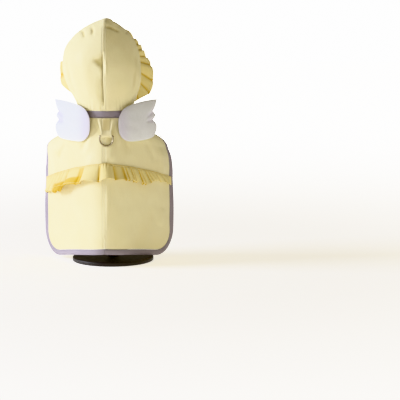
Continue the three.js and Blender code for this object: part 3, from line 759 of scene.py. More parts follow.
@dataclass(frozen=True)
class ClothFinish:
    """Finish of a woven cloth. Depths are in metres."""

    name: str
    colour: Colour
    worn: Colour
    # Colour of painted shade, mixed in where a piece's painted-shade attribute is high.
    shade_paint: Colour
    thread: Colour
    roughness: float = 0.62
    threads: float = 1500.0
    weave_depth: float = 0.000014
    crumple_depth: float = 0.0009
    crumple_size: float = 0.045
    sheen: float = 0.08
    gloss: float = 0.28

    def material(self, grain: Grain, label: str, rows: tuple[StitchRow, ...] = ()) -> Material:
        """Builds the material.

        Args:
            grain: The shared node groups.
            label: What the cloth is used for, added to the name.
            rows: Stitch rows.

        Returns:
            The material.
        """
        material, w, shader = new_material(f"{self.name}_{label}")
        flat = w.add("ShaderNodeUVMap", uv_map="cloth").outputs["UV"]
        place = w.add("ShaderNodeTexCoord").outputs["Object"]
        painted_shade = w.add("ShaderNodeAttribute", attribute_name="painted_shade").outputs["Fac"]
        weave = w.group(grain.weave, flat=flat, threads=self.threads)
        crumple = w.group(grain.crumple, place=place, size=self.crumple_size)
        mottle = w.ramp(w.noise(place, 16.0, 4.0), 0.3, 0.72)
        colour = w.mix(w.math("MULTIPLY", mottle, 0.5), (*self.colour, 1), (*self.worn, 1))
        slub = w.ramp(weave.outputs["Slub"], 0.35, 0.7, 0.0, 0.16)
        colour = w.mix(slub, colour, (*self.worn, 1))
        # Painted shade: the colour is darkened towards the shade colour by the piece's painted-shade
        # attribute.
        colour = w.mix(painted_shade, colour, (*self.shade_paint, 1))
        height = w.math("MULTIPLY", weave.outputs["Height"], self.weave_depth)
        height = w.math("MULTIPLY_ADD", crumple.outputs["Height"], self.crumple_depth, height)
        for row in rows:
            x, y = w.split(flat)
            along, across = (y, x) if row.down else (x, y)
            stitch = w.group(
                grain.stitch, along=along, across=across, line=row.at * MM, pitch=STITCH_PITCH
            )
            colour = w.mix(stitch.outputs["Thread"], colour, (*self.thread, 1))
            height = w.math("MULTIPLY_ADD", stitch.outputs["Height"], STITCH_DEPTH, height)
        roughness = w.ramp(mottle, 0.0, 1.0, self.roughness - 0.05, self.roughness + 0.08)
        w.fed(shader, {"Base Color": colour, "Roughness": roughness, "Specular IOR Level": self.gloss})
        w.fed(shader, {"Sheen Weight": self.sheen, "Sheen Roughness": 0.5})
        w.bump(shader, height)
        return material


@dataclass(frozen=True)
class HardFinish:
    """Finish of metal, lacquer or a moulded form. Depths are in metres."""

    name: str
    colour: Colour
    worn: Colour
    metallic: float
    roughness: float
    grain_size: float
    grain_depth: float

    def material(self) -> Material:
        """Builds the material."""
        material, w, shader = new_material(self.name)
        place = w.add("ShaderNodeTexCoord").outputs["Object"]
        grain = w.noise(place, 1.0 / self.grain_size, 5.0)
        rub = w.ramp(w.noise(place, 22.0, 4.0), 0.42, 0.75)
        colour = w.mix(rub, (*self.colour, 1), (*self.worn, 1))
        roughness = w.ramp(grain, 0.2, 0.8, self.roughness - 0.06, self.roughness + 0.1)
        w.fed(shader, {"Base Color": colour, "Roughness": roughness, "Metallic": self.metallic})
        w.bump(shader, w.math("MULTIPLY", grain, self.grain_depth))
        return material


# The third colour of each cloth finish is its painted shade, mixed in by each piece's painted-shade
# attribute.
RAIN_CLOTH = ClothFinish(
    "rain_cloth", (0.88, 0.81, 0.50), (0.855, 0.765, 0.43), (0.52, 0.42, 0.13), (0.92, 0.86, 0.6),
    roughness=0.6,
)
RUFFLE_CLOTH = ClothFinish(
    "ruffle_cloth", (0.88, 0.765, 0.37), (0.86, 0.72, 0.30), (0.68, 0.46, 0.05), (0.92, 0.82, 0.5),
    roughness=0.85,
)
TAB_CLOTH = replace(RAIN_CLOTH, name="tab_cloth", worn=(0.84, 0.74, 0.42), shade_paint=(0.70, 0.58, 0.27))
BIAS_TAPE = ClothFinish(
    "bias_tape", (0.34, 0.295, 0.325), (0.27, 0.235, 0.262), (0.1, 0.09, 0.11), (0.40, 0.355, 0.40),
    roughness=0.7, threads=1900.0, crumple_depth=0.0003, crumple_size=0.012,
)
WING_CLOTH = ClothFinish(
    "wing_cloth", (0.74, 0.745, 0.745), (0.715, 0.715, 0.70), (0.66, 0.62, 0.72), (0.86, 0.85, 0.9),
    roughness=0.8, threads=1100.0, crumple_depth=0.0012, crumple_size=0.03, sheen=0.3,
)
FORM_COVER = ClothFinish(
    "form_cover", (0.74, 0.70, 0.62), (0.68, 0.64, 0.55), (0.4, 0.37, 0.3), (0.6, 0.56, 0.48),
    roughness=0.85, threads=1000.0, crumple_depth=0.0001, crumple_size=0.05,
)
RING_METAL = HardFinish("ring_metal", (0.42, 0.36, 0.24), (0.30, 0.26, 0.17), 1.0, 0.22, 0.004, 0.00002)
SNAP_METAL = HardFinish("snap_metal", (0.70, 0.68, 0.64), (0.58, 0.56, 0.52), 1.0, 0.32, 0.003, 0.00002)
STAND_LACQUER = HardFinish(
    "stand_lacquer", (0.021, 0.014, 0.009), (0.03, 0.021, 0.014), 0.0, 0.48, 0.006, 0.00001
)
FLOOR_PAPER = HardFinish(
    "floor_paper", (0.93, 0.93, 0.925), (0.92, 0.92, 0.915), 0.0, 0.85, 0.05, 0.00001
)


# ---- Pieces


def settled(
    piece: Object, material: Material, slot: str, *nodes: str, body: str = BODY
) -> None:
    """Dresses a piece, hangs it on its body and hides the CAD nodes that it replaces.

    Args:
        piece: The piece.
        material: Its finish.
        slot: Its material slot in the record; not used.
        nodes: The CAD nodes that it replaces.
        body: The body that it rides on.
    """
    piece.data.materials.clear()
    piece.data.materials.append(material)
    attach(piece, body)
    if nodes:
        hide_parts(*nodes)
    LOG.info("%s: %d faces", piece.name, len(piece.data.polygons))


@dataclass(frozen=True)
class Cape:
    """The cape's two panels, with the folds of a cloth that hangs over a form."""

    creases: tuple[Crease, ...] = (
        Crease(((-20, 2), (-24, 26), (-30, 46), (-46, 62)), 1.8, 7),
        Crease(((20, 2), (25, 28), (30, 50)), 1.5, 6),
        Crease(((-34, 8), (-40, 34), (-58, 58)), -1.6, 8),
        Crease(((36, 8), (40, 36), (52, 60)), -1.3, 8),
        Crease(((12, 34), (14, 52), (13, 76)), 2.4, 7.5),
        Crease(((-26, 60), (-24, 78)), 1.0, 8),
        Crease(((-34, 114), (-30, 160), (-38, 222)), -0.8, 15),
        Crease(((-70, 120), (-62, 170), (-72, 224)), 0.9, 17),
        Crease(((11, 104), (8, 150), (2, 222)), 1.7, 8),
        Crease(((62, 118), (70, 172), (58, 224)), -0.7, 18),
        Crease(((-112, 118), (-104, 160), (-118, 214)), -0.9, 15),
        Crease(((108, 118), (118, 156), (108, 212)), -0.8, 15),
        Crease(((-146, 40), (-138, 70), (-142, 104)), 1.4, 11),
        Crease(((142, 34), (148, 66), (138, 100)), 1.6, 10),
        Crease(((-150, 150), (-138, 186)), 1.2, 10),
        Crease(((152, 140), (142, 182)), 1.3, 11),
        Crease(((-90, 30), (-112, 46), (-132, 58)), -1.5, 8),
        Crease(((84, 28), (110, 48), (128, 66)), -1.3, 8),
    )
    rows_above_corner: int = 84
    rows_in_corner: int = 26
    columns: int = 110
    ripple: float = 0.35
    ripple_length: float = 64.0
    pucker: float = 0.7
    pucker_pitch: float = 7.5
    pucker_reach: float = 13.0
    seam_depth: float = 0.35
    seam_width: float = 1.6
    flat_edge: float = 14.0
    flat_neck: float = 8.0

    def panel(self, side: Side, material: Material) -> None:
        """Builds one panel."""
        rows = CAPE.row_places(self.rows_above_corner, self.rows_in_corner)[:, None]
        across = side.value * (CAPE.reach(rows) - CAPE.lap(rows)) * np.linspace(0, 1, self.columns + 1)
        down = rows + 0 * across
        points, normals = CAPE.points(across, down), CAPE.normals(across, down)
        lift = crease_lift(points, self.creases, CAPE.points)
        lift = lift + self.ripple * unevenness(across, down, self.ripple_length)
        lift = lift + self.pucker * puckers(across, down, self.pucker_pitch, self.pucker_reach)
        edge = smooth((CAPE.reach(rows) - np.abs(across)) / self.flat_edge) * smooth(down / self.flat_neck)
        hem = smooth((CAPE.back_length - down) / self.flat_edge)
        lift = lift * edge * hem - self.seam_depth * bell(across, self.seam_width)
        points = points + normals * lift[..., None]
        points[:, 0, 0] = side.value * SEAM_GAP / 2
        flat = np.stack([np.abs(across), down], axis=-1)
        name = f"cape_cloth_{side.word}"
        # Troughs of the panel get painted shade in the cloth's colour.
        piece = walled(grid_object(name, SHOULDER.squared(points), flat, trough_shade(lift)), CLOTH)
        settled(piece, material, "cloth", f"cape_panel_{side.word}")


@dataclass(frozen=True)
class EdgeBinding:
    """Bias tape round the cape's front edges and hem."""

    width: float = 10.0
    thickness: float = 2.4
    rows_above_corner: int = 70
    rows_in_corner: int = 40
    hem_columns: int = 60

    def outline(self) -> tuple[Array, Array]:
        """Places down the right front edge and along the hem to the spine, as across and down."""
        down = CAPE.row_places(self.rows_above_corner, self.rows_in_corner)
        across = CAPE.reach(down)
        hem = across[-1] * np.linspace(1, 0, self.hem_columns + 1)[1:]
        return np.concatenate([across, hem]), np.concatenate([down, np.full(len(hem), CAPE.back_length)])

    def half(self, side: Side, material: Material) -> None:
        """Builds the tape of one side."""
        across, down = self.outline()
        points, normals = CAPE.points(across, down), CAPE.normals(across, down)
        out = unit(np.cross(normals, np.gradient(points, axis=0)))
        out[-1, 0] = normals[-1, 0] = 0.0
        out, normals = unit(out), unit(normals)
        points[-1, 0] = SEAM_GAP / 2
        on_front = np.arange(len(down)) <= self.rows_above_corner + self.rows_in_corner
        lap = np.where(on_front, CAPE.lap(down), 0.0)
        centre = points + out * (SEAM_GAP + (self.width - lap) / 2)[:, None]
        mirror = np.array([side.value, 1.0, 1.0])
        name, placed = f"edge_tape_{side.word}", SHOULDER.squared(centre * mirror)
        piece = finished(
            tape(name, placed, out * mirror, normals * mirror, self.width + lap, self.thickness)
        )
        settled(piece, material, "binding", f"edge_binding_{side.word}")


@dataclass(frozen=True)
class Collar:
    """Bias tape round the neck seam, open at the throat."""

    open_half_degrees: float = 6.0
    thickness: float = 2.4
    stations: int = 150

    def build(self, material: Material) -> None:
        """Builds the collar."""
        throat = self.open_half_degrees
        turn = np.radians(np.linspace(throat, 360 - throat, self.stations))
        outward = np.stack([np.sin(turn), np.cos(turn), np.zeros_like(turn)], axis=-1)
        middle = np.array([0.0, THROAT_Y - NECK_RADIUS, COLLAR_BOTTOM + COLLAR_HEIGHT / 2])
        up = np.tile(np.array([0.0, 0.0, 1.0]), (self.stations, 1))
        centre = middle + outward * NECK_RADIUS
        piece = finished(tape("collar_tape", centre, up, outward, COLLAR_HEIGHT, self.thickness))
        settled(piece, material, "binding", "collar_binding")


@dataclass(frozen=True)
class Hood:
    """The hood's two halves, with the peaked fold at the crown.

    The left half tucks under the right at the seam. Puckers are a pitch and a reach, in mm.
    """

    creases: tuple[Crease, ...] = (
        Crease(((-9, 34), (-9, 22), (-6, 5)), -1.4, 5),
        Crease(((-24, 43.5), (-15, 40), (-4, 36.5)), -2.6, 5.4, 0.4),
        Crease(((-8, 46.5), (-8, 40), (-6, 32)), -2.2, 4.4, 0.4),
        Crease(((8, 41), (9.5, 36), (7.5, 30)), 1.9, 2.0),
        Crease(((-36, 56), (-34, 34), (-28, 6)), 1.4, 10),
        Crease(((0, 62), (4, 69), (5, 75)), 1.9, 6),
        Crease(((2, 63), (13, 63.4), (22, 63.6), (36, 64)), -3.4, 2.0, 0.2),
        Crease(((6, 73), (13, 71), (22, 68.5), (32, 67)), 2.8, 3.8),
        Crease(((-44, 72), (-40, 66), (-35, 58)), -2.5, 2.8),
        Crease(((-28, 68), (-26, 63), (-24, 57)), -2.3, 2.6, 0.45),
        Crease(((-60, 76), (-52, 60)), -2.0, 2.8),
        Crease(((-62, 60), (-72, 36), (-66, 10)), -1.7, 8),
        Crease(((-84, 70), (-88, 44), (-78, 16)), 1.5, 8),
        Crease(((42, 58), (48, 34), (42, 8)), 1.0, 11),
        Crease(((66, 66), (72, 40), (64, 14)), -1.5, 9),
        Crease(((86, 70), (92, 44), (80, 14)), 1.6, 8),
        Crease(((108, 74), (116, 50)), -1.5, 6),
        Crease(((-110, 76), (-118, 48)), -1.6, 6),
        Crease(((48, 74), (44, 66)), -1.5, 2.6),
        Crease(((60, 80), (55, 71)), -1.6, 2.8),
        Crease(((-78, 84), (-72, 74)), -1.6, 3.2),
    )
    tuck: tuple[Crease, ...] = (Crease(((0, 47), (0, 34), (0, 18), (0, 1)), -4.0, 2.7, 0.2),)
    rows: int = 96
    columns: int = 110
    crowding: float = 1.15
    ripple: float = 0.3
    ripple_length: float = 58.0
    pucker: float = 0.6
    neck_puckers: tuple[float, float] = (8.0, 14.0)
    face_puckers: tuple[float, float] = (6.5, 9.0)
    seam_depth: float = 0.45
    seam_width: float = 1.6
    held_degrees: float = 3.0
    throat_degrees: float = 10.0

    def half(self, side: Side, material: Material) -> None:
        """Builds one half."""
        angle = np.linspace(0, HOOD.face_angle, self.rows + 1)[:, None]
        share = np.linspace(0, 1, self.columns + 1) ** self.crowding
        around = side.value * HOOD.end_round * share + 0 * angle
        angle = angle + 0 * around
        points, normals = HOOD.points(around, angle), HOOD.normals(around, angle)
        walked, climbed = lengths_along(points, 1), lengths_along(points, 0)
        creases = self.creases + (self.tuck if side is Side.LEFT else ())
        lift = crease_lift(points, creases, HOOD.points)
        lift = lift + self.ripple * unevenness(walked * side.value, climbed, self.ripple_length)
        lift = lift + self.pucker * puckers(walked, climbed, *self.neck_puckers)
        lift = lift + self.pucker * puckers(walked, climbed[-1:] - climbed, *self.face_puckers)
        held = smooth(angle / self.held_degrees) * smooth((HOOD.face_angle - angle) / self.held_degrees)
        held = held * smooth((HOOD.end_round - np.abs(around)) / self.throat_degrees)
        lift = lift * held - self.seam_depth * bell(walked, self.seam_width)
        normals[:, 0, 0] = 0.0
        points = points + unit(normals) * lift[..., None]
        points[:, 0, 0] = side.value * SEAM_GAP / 2
        flat = np.stack([walked, climbed[:, :1] + 0 * walked], axis=-1)
        name = f"hood_cloth_{side.word}"
        # Troughs of the hood get painted shade in the cloth's colour.
        piece = walled(grid_object(name, HOOD.swayed(points), flat, trough_shade(lift)), CLOTH)
        settled(piece, material, "cloth", f"hood_{side.word}")


@dataclass(frozen=True)
class Ruffle:
    """A gathered strip. Lengths in mm, lean in degrees off the cloth that it is sewn to.

    fan is how far the folds spread from the middle towards the hem, as a share of their place.
    """

    name: str
    node: str
    width: float
    lean: float
    stations: int
    fan: float
    root_wave: float = 0.12
    pleat: float = 0.26
    hem_wave: float = 1.3
    roll: float = 4.5
    thickness: float = 1.0
    across_steps: int = 24

    def build(
        self,
        root: tuple[Array, Array, Array],
        place: Array,
        swell: Callable[[Array], Array],
        free: Array,
        wide: Array,
        flat: tuple[float, float],
        rests_on: list[str],
        material: Material,
        settle: Callable[[Array], Array],
        turn_up: Array | float = 0.0,
    ) -> None:
        """Builds the ruffle.

        Args:
            root: Points, unit normals and unit directions off the seam, along the strip.
            place: Each station's place from the strip's middle.
            swell: How far the cloth stands out at a place, in mm.
            free: How freely the strip stands at each station, from 0 to 1.
            wide: Share of the full width at each station.
            flat: Cut size in metres, as gathered length and width; not used.
            rests_on: Pieces that it is sewn to; not used.
            material: Its finish.
            settle: A last move of the points.
            turn_up: How far the hem turns up at each station, from 0 to 1.
        """
        point, normal, off = root
        across = np.linspace(0, 1, self.across_steps + 1)[:, None]
        swing = swell(place[None, :] / (1 + self.fan * across))
        walked = lengths_along(point, 0)
        pleats = np.sin(walked / 0.74 + 2.1 * np.sin(walked / 13.0)) * (1 + 0.6 * np.sin(walked / 7.1))
        out = turned(self.root_wave, 1.0, across**0.8) * swing
        out = out + self.pleat * bell(across - 0.13, 0.17) * pleats[None, :]
        out = out + self.hem_wave * across**3 * np.sin(walked / 11.0 + 0.7)[None, :]
        rolled = smooth((across - 0.5) / 0.5) * turn_up
        out = out * free[None, :] + self.roll * rolled
        lean = np.radians(self.lean) * free[None, :]
        run = self.width * wide[None, :] * across * (1 - 0.012 * swing * across)
        go_off = run * np.cos(lean) - out * np.sin(lean)
        go_out = run * np.sin(lean) + out * np.cos(lean)
        points = point[None] + off[None] * go_off[..., None] + normal[None] * go_out[..., None]
        # Painted shade: the colour is darkened in the gather valleys (low), along the root beside the seam
        # and on the hem's turned-up underside.
        low = smooth((0.6 - swing) / 3.0) * smooth(across / 0.2) * (0.55 + 0.45 * across)
        root_shade = 0.45 * bell(across, 0.09)
        underside = 0.9 * smooth((across - 0.52) / 0.1) * turn_up
        cut = np.stack([walked[None, :] + 0 * run, run], axis=-1)
        painted_shade = np.clip(low + root_shade + underside, 0, 1)
        piece = walled(grid_object(self.name, settle(points), cut, painted_shade), self.thickness)
        settled(piece, material, "ruffle", self.node)


@dataclass(frozen=True)
class BackRuffle:
    """The ruffle across the body, caught at uneven places along its head."""

    down: float = 78.0
    tuck: float = 22.0
    end: float = 176.0
    strip: Ruffle = Ruffle("back_ruffle_cloth", "back_ruffle", 31.0, 17.0, 700, 0.13)
    gathers: RowTable = RowTable(
        ("at", "dip", "crest", "wide"),
        (
            (-200, -0.6, 1.5, 0.95), (-176, -0.6, 3, 0.95), (-161, -1.4, 4.5, 1.0), (-146, -1.8, 5.5, 1.05),
            (-132, -1.8, 6.0, 1.12), (-119, -2.4, 6.5, 1.24), (-108, -2.8, 7.0, 1.3), (-98, -2.6, 8.0, 1.3),
            (-84, -2.8, 9.0, 1.16), (-47, -3.8, 1.0, 0.96), (-38, -3.6, 8.6, 0.97), (-6, -3.2, 8.0, 1.0),
            (14, -2.4, 3.4, 0.88), (34, -4.4, 5.0, 0.8), (39, -4.0, 6.8, 0.8), (51, -4.4, 5.0, 0.8),
            (56, -3.8, 7.2, 0.82), (71, -4.6, 5.4, 0.84), (77, -4.2, 7.0, 0.86), (91, -4.4, 5.4, 0.86),
            (98, -2.6, 4.6, 0.8), (108, -1.6, 3.2, 0.62), (120, -1.4, 2.8, 0.5), (138, -1.2, 2.6, 0.5),
            (158, -1.0, 2.2, 0.5), (176, -0.4, 0.8, 0.5), (200, -0.4, 0.8, 0.5),
        ),
    )
    lifted: float = 1.0
    turned_up: tuple[float, float] = (-136.0, -38.0)
    turn_over: tuple[float, float] = (20.0, 22.0)

    def turn_up(self, at: Array) -> Array:
        """How far the hem turns up and shows its underside, from 0 to 1."""
        (start, end), (ease_in, ease_out) = self.turned_up, self.turn_over
        return smooth((at - start) / ease_in) * smooth((end - at) / ease_out)

    def swell(self, at: Array) -> Array:
        """How far the cloth stands out, in mm: round crests between sharp gathers."""
        table = np.array(self.gathers.rows)
        i = np.clip(np.searchsorted(table[:, 0], at, side="right") - 1, 0, len(table) - 2)
        t = (at - table[i, 0]) / (table[i + 1, 0] - table[i, 0])
        dip = turned(table[i, 1], table[i + 1, 1], t)
        skew = t ** (1.0 + 0.25 * np.sin(2.3 * i))
        return dip + table[i, 2] * np.abs(np.sin(math.pi * skew)) ** 0.72

    def build(self, material: Material) -> None:
        """Builds the ruffle."""
        at = np.linspace(-self.end, self.end, self.strip.stations + 1)
        level = np.full_like(at, self.down)
        normal = CAPE.normals(at, level)
        off = unit(CAPE.points(at, level + 1) - CAPE.points(at, level - 1))
        clear = CLOTH / 2 + SEAM_GAP + self.strip.thickness / 2 + self.lifted
        point = CAPE.points(at, level) + normal * clear
        free = turned(0.12, 1.0, smooth((self.end - np.abs(at)) / self.tuck))
        wide = np.interp(at, *np.array(self.gathers.rows)[:, [0, 3]].T)
        self.strip.build(
            (point, normal, off), at, self.swell, free, wide, (0.40, 0.031),
            ["cape_cloth_left", "cape_cloth_right"], material, SHOULDER.squared, self.turn_up(at),
        )


@dataclass(frozen=True)
class HoodRuffle:
    """The ruffle round the face edge of the hood."""

    waves: float = 25.0
    crest: float = 7.0
    dip: float = -3.0
    tuck: float = 60.0
    lifted: float = 0.5
    strip: Ruffle = Ruffle("hood_ruffle_cloth", "hood_ruffle", 36.0, 71.0, 820, 0.05)
    widths: Pairs = (
        (-163, 0.85), (-130, 0.8), (-116, 0.84), (-106, 1.04), (-98, 0.98), (-88, 0.72), (-72, 0.74),
        (-50, 0.84), (-25, 0.98), (0, 1.04), (25, 0.98), (40, 0.86), (70, 0.88), (80, 1.1), (116, 1.16),
        (124, 0.92), (136, 0.86), (148, 0.7), (163, 0.75),
    )

    def swell(self, place: Array) -> Array:
        """How far the cloth stands out, in mm, at places from -0.5 to 0.5 along the ruffle."""
        turn = 2 * math.pi
        uneven = 0.42 * np.sin(turn * (2.6 * place + 0.4)) + 0.3 * np.sin(turn * (5.3 * place + 0.05))
        phase = self.waves * (place + 0.5) + uneven
        wave = np.floor(phase)
        height = self.crest * (1 + 0.42 * np.sin(2.7 * wave + 0.8))
        return self.dip + height * np.abs(np.sin(math.pi * phase)) ** 0.75

    def build(self, material: Material) -> None:
        """Builds the ruffle."""
        along = np.linspace(0, 1, self.strip.stations + 1)
        around = turned(-HOOD.end_round, HOOD.end_round, along)
        face = np.full_like(around, HOOD.face_angle)
        normal = HOOD.normals(around, face)
        off = unit(HOOD.points(around, face) - HOOD.points(around, face - 1))
        clear = SEAM_GAP + self.strip.thickness / 2 + self.lifted
        point = HOOD.points(around, face) + off * clear
        clear_of_throat = smooth((HOOD.end_round - np.abs(around)) / self.tuck)
        wide = turned(0.6, 1.0, clear_of_throat) * np.interp(around, *np.array(self.widths).T)
        self.strip.build(
            (point, normal, off), along - 0.5, self.swell, turned(0.15, 1.0, clear_of_throat), wide,
            (0.42, 0.035), ["hood_cloth_left", "hood_cloth_right"], material, HOOD.swayed,
        )


@dataclass(frozen=True)
class Wing:
    """A soft padded wing with a scalloped outer edge, sewn on by its inner edge."""

    middle: tuple[float, float] = (59.0, 250.0)
    thickness: float = 12.0
    rim: float = 1.2
    channel: float = 1.5
    root: float = 28.0
    root_y: float = -59.2
    slope: float = 40.0
    steps_per_span: int = 9
    layers: int = 22
    outline: tuple[tuple[float, float, bool], ...] = (
        (24.5, 249, False), (26.5, 264, False), (35, 276.5, False), (53, 284.5, False), (73, 288.5, False),
        (90, 290, True), (87.5, 278, False), (83, 268.5, True), (87.5, 261, False), (83, 253.5, True),
        (89.5, 244, False), (88, 231, False), (81, 222, False), (61, 218, False), (39, 219, False),
        (27, 231, False),
    )

    def ring(self) -> Array:
        """The outline's points, across and height, rounded but sharp where the table says."""
        spots = np.array([(a, h) for a, h, _ in self.outline])
        sharp = np.array([s for _, _, s in self.outline])
        slope = (np.roll(spots, -1, axis=0) - np.roll(spots, 1, axis=0)) / 2
        slope[sharp] = 0
        t = np.linspace(0, 1, self.steps_per_span, endpoint=False)[None, :, None]
        start, end = spots[:, None], np.roll(spots, -1, axis=0)[:, None]
        leave, arrive = slope[:, None], np.roll(slope, -1, axis=0)[:, None]
        return cubic(t, start, end, leave, arrive).reshape(-1, 2)

    def build(self, side: Side, material: Material) -> None:
        """Builds one wing as a crowned pad, with soft channels towards its notches."""
        ring = self.ring()
        ring = np.concatenate([ring, ring[:1]])
        middle = np.array(self.middle)
        out = np.linspace(0, 1, self.layers + 1)
        out = np.concatenate([out, out[-2::-1]])[:, None]
        face = np.concatenate([np.ones(self.layers + 1), -np.ones(self.layers)])[:, None]
        spot = middle + (ring[None] - middle) * out[..., None]
        crown = np.maximum(1 - out**2.2, 0) ** 0.62
        lift = turned(self.rim / 2, self.thickness / 2, crown)
        notches = np.array([(a, h) for a, h, s in self.outline if s][1:])
        channel = np.zeros(spot.shape[:2])
        for notch in notches:
            t, gap = off_line(spot, middle, notch)
            channel += self.channel * bell(gap, 4.0) * smooth((t - 0.35) / 0.4)
        soft = 0.35 * unevenness(spot[..., 0], spot[..., 1], 31.0)
        lift = np.maximum(lift + (soft - channel) * crown, self.rim / 2)
        slope = math.radians(self.slope)
        y = self.root_y + (spot[..., 0] - self.root) * math.tan(slope)
        points = np.stack(
            [
                side.value * (spot[..., 0] + face * lift * math.sin(slope)),
                y - face * lift * math.cos(slope),
                spot[..., 1],
            ],
            axis=-1,
        )
        # Painted shade: the colour is darkened along the inner edge, where the wing meets the collar, and
        # in the channels.
        shade = np.clip(0.7 * bell(spot[..., 0] - self.root, 11) + 0.5 * np.clip(channel, 0, 1), 0, 1)
        piece = finished(grid_object(f"wing_pad_{side.word}", points, spot, shade), 80.0)
        settled(piece, material, "wing", f"wing_{side.word}")


@dataclass(frozen=True)
class RingAndTab:
    """The D-ring and the folded tab that holds it."""

    across: float = 4.0
    bar_z: float = 230.0
    stand_off: float = 6.2
    wire: float = 1.5
    half_width: float = 11.5
    drop: float = 17.8
    corner: float = 1.6
    tab_top: float = 16.0
    tab_bottom: float = 9.6
    tab_thickness: float = 1.1
    narrow_from: float = 0.78
    turned_over: float = 0.72

    @property
    def bar_y(self) -> float:
        """Depth of the ring's bar."""
        down = COLLAR_BOTTOM - SEAM_GAP - self.bar_z
        return float(CAPE.points(np.array([0.0]), np.array([down]))[0, 1]) - self.stand_off

    def ring(self, material: Material) -> None:
        """Builds the ring as one bent round wire."""
        side_end = self.drop - self.half_width
        inner = self.half_width - self.corner
        quarter = np.radians(np.linspace(90, 0, 9))
        bow = np.radians(np.linspace(0, -180, 49))
        last = np.radians(np.linspace(180, 90, 9))
        bar = np.linspace(-inner, inner, 24, endpoint=False)
        stretches = (
            (bar, np.zeros_like(bar)),
            (inner + self.corner * np.cos(quarter), self.corner * (np.sin(quarter) - 1)),
            (self.half_width * np.cos(bow), self.half_width * np.sin(bow) - side_end),
            (-inner + self.corner * np.cos(last[:-1]), self.corner * (np.sin(last[:-1]) - 1)),
        )
        path = np.concatenate([np.stack(stretch, axis=-1) for stretch in stretches])
        along = unit(np.roll(path, -1, axis=0) - np.roll(path, 1, axis=0))
        turn = np.linspace(0, 2 * math.pi, 21)
        in_plane, out_plane = self.wire * np.cos(turn), self.wire * np.sin(turn)
        x = self.across + path[:, :1] + along[:, 1:] * in_plane
        z = self.bar_z + path[:, 1:] - along[:, :1] * in_plane
        points = np.stack([x, self.bar_y + out_plane[None, :] + 0 * x, z], axis=-1)
        points[:, -1] = points[:, 0]
        points = np.concatenate([points, points[:1]])
        walked = lengths_along(points, 0)
        flat = np.stack([walked, (turn * self.wire)[None, :] + 0 * walked], axis=-1)
        piece = finished(grid_object("back_ring", points, flat))
        settled(piece, material, "metal", "d_ring", body="ring")

    def tab(self, material: Material) -> None:
        """Builds the tab: down from the neck seam, round the bar and back up."""
        loop = self.wire + SEAM_GAP + self.tab_thickness / 2
        top_z = COLLAR_BOTTOM - 0.8
        straight = np.linspace(0, 1, 26, endpoint=False)
        turn = np.linspace(0, math.pi, 19)
        z = np.concatenate([turned(top_z, self.bar_z, straight), self.bar_z - loop * np.sin(turn)])
        z = np.concatenate([z, turned(top_z, self.bar_z, straight)[::-1]])
        half = turned(self.tab_top, self.tab_bottom, np.minimum(straight / self.narrow_from, 1.0))
        half = np.concatenate([half, np.full(len(turn), self.tab_bottom), half[::-1]])
        share = np.linspace(-1, 1, 33)
        x = self.across + half[:, None] * share[None, :]
        top = self.surface_y(x, np.full_like(x, top_z)) - (CLOTH / 2 + SEAM_GAP + self.tab_thickness / 2)
        count, turns = len(straight), len(turn)
        t = straight[:, None]
        front = turned(top[:count] - self.tab_thickness - SEAM_GAP, self.bar_y - loop, t)
        back = turned(top[count + turns :][::-1], self.bar_y + loop, t) - 0.6 * np.sin(math.pi * t)
        bend = (self.bar_y - loop * np.cos(turn))[:, None] + 0 * x[:turns]
        y = np.concatenate([front, bend, back[::-1]])
        hem_ridge = 0.9 * bell(np.abs(share) - 0.8, 0.11) - 0.5 * bell(share, 0.45)
        held = smooth(t / 0.15) * smooth((1 - t) / 0.15)
        under = 0.9 * smooth((t - self.turned_over) / 0.05) * smooth((1 - t) / 0.1)
        y[:count] -= hem_ridge[None, :] * held + under
        points = np.stack([x, y, z[:, None] + 0 * x], axis=-1)
        walked = lengths_along(points, 0)[:, :1] + 0 * x
        # Painted shade: the tab's middle is painted darker than its edges, from the neck down to where it
        # turns over the bar.
        painted_shade = np.zeros_like(x)
        above_fold = smooth((self.turned_over - t) / 0.06)
        painted_shade[:count] = 0.75 * np.exp(-((share / 0.6) ** 4))[None, :] * smooth(t / 0.1) * above_fold
        flat = np.stack([x - self.across, walked], axis=-1)
        piece = walled(grid_object("ring_tab_cloth", points, flat, painted_shade), self.tab_thickness)
        settled(piece, material, "cloth", "ring_tab")

    @staticmethod
    def surface_y(across: Array, height: Array) -> Array:
        """Depth of the cape's middle surface at a place across and a height near the spine."""
        s, down = np.abs(across), COLLAR_BOTTOM - SEAM_GAP - height
        for _ in range(6):
            p = CAPE.points(s, down)
            s = s + np.abs(across) - p[..., 0]
            down = down + p[..., 2] - height
        return CAPE.points(s, down)[..., 1]


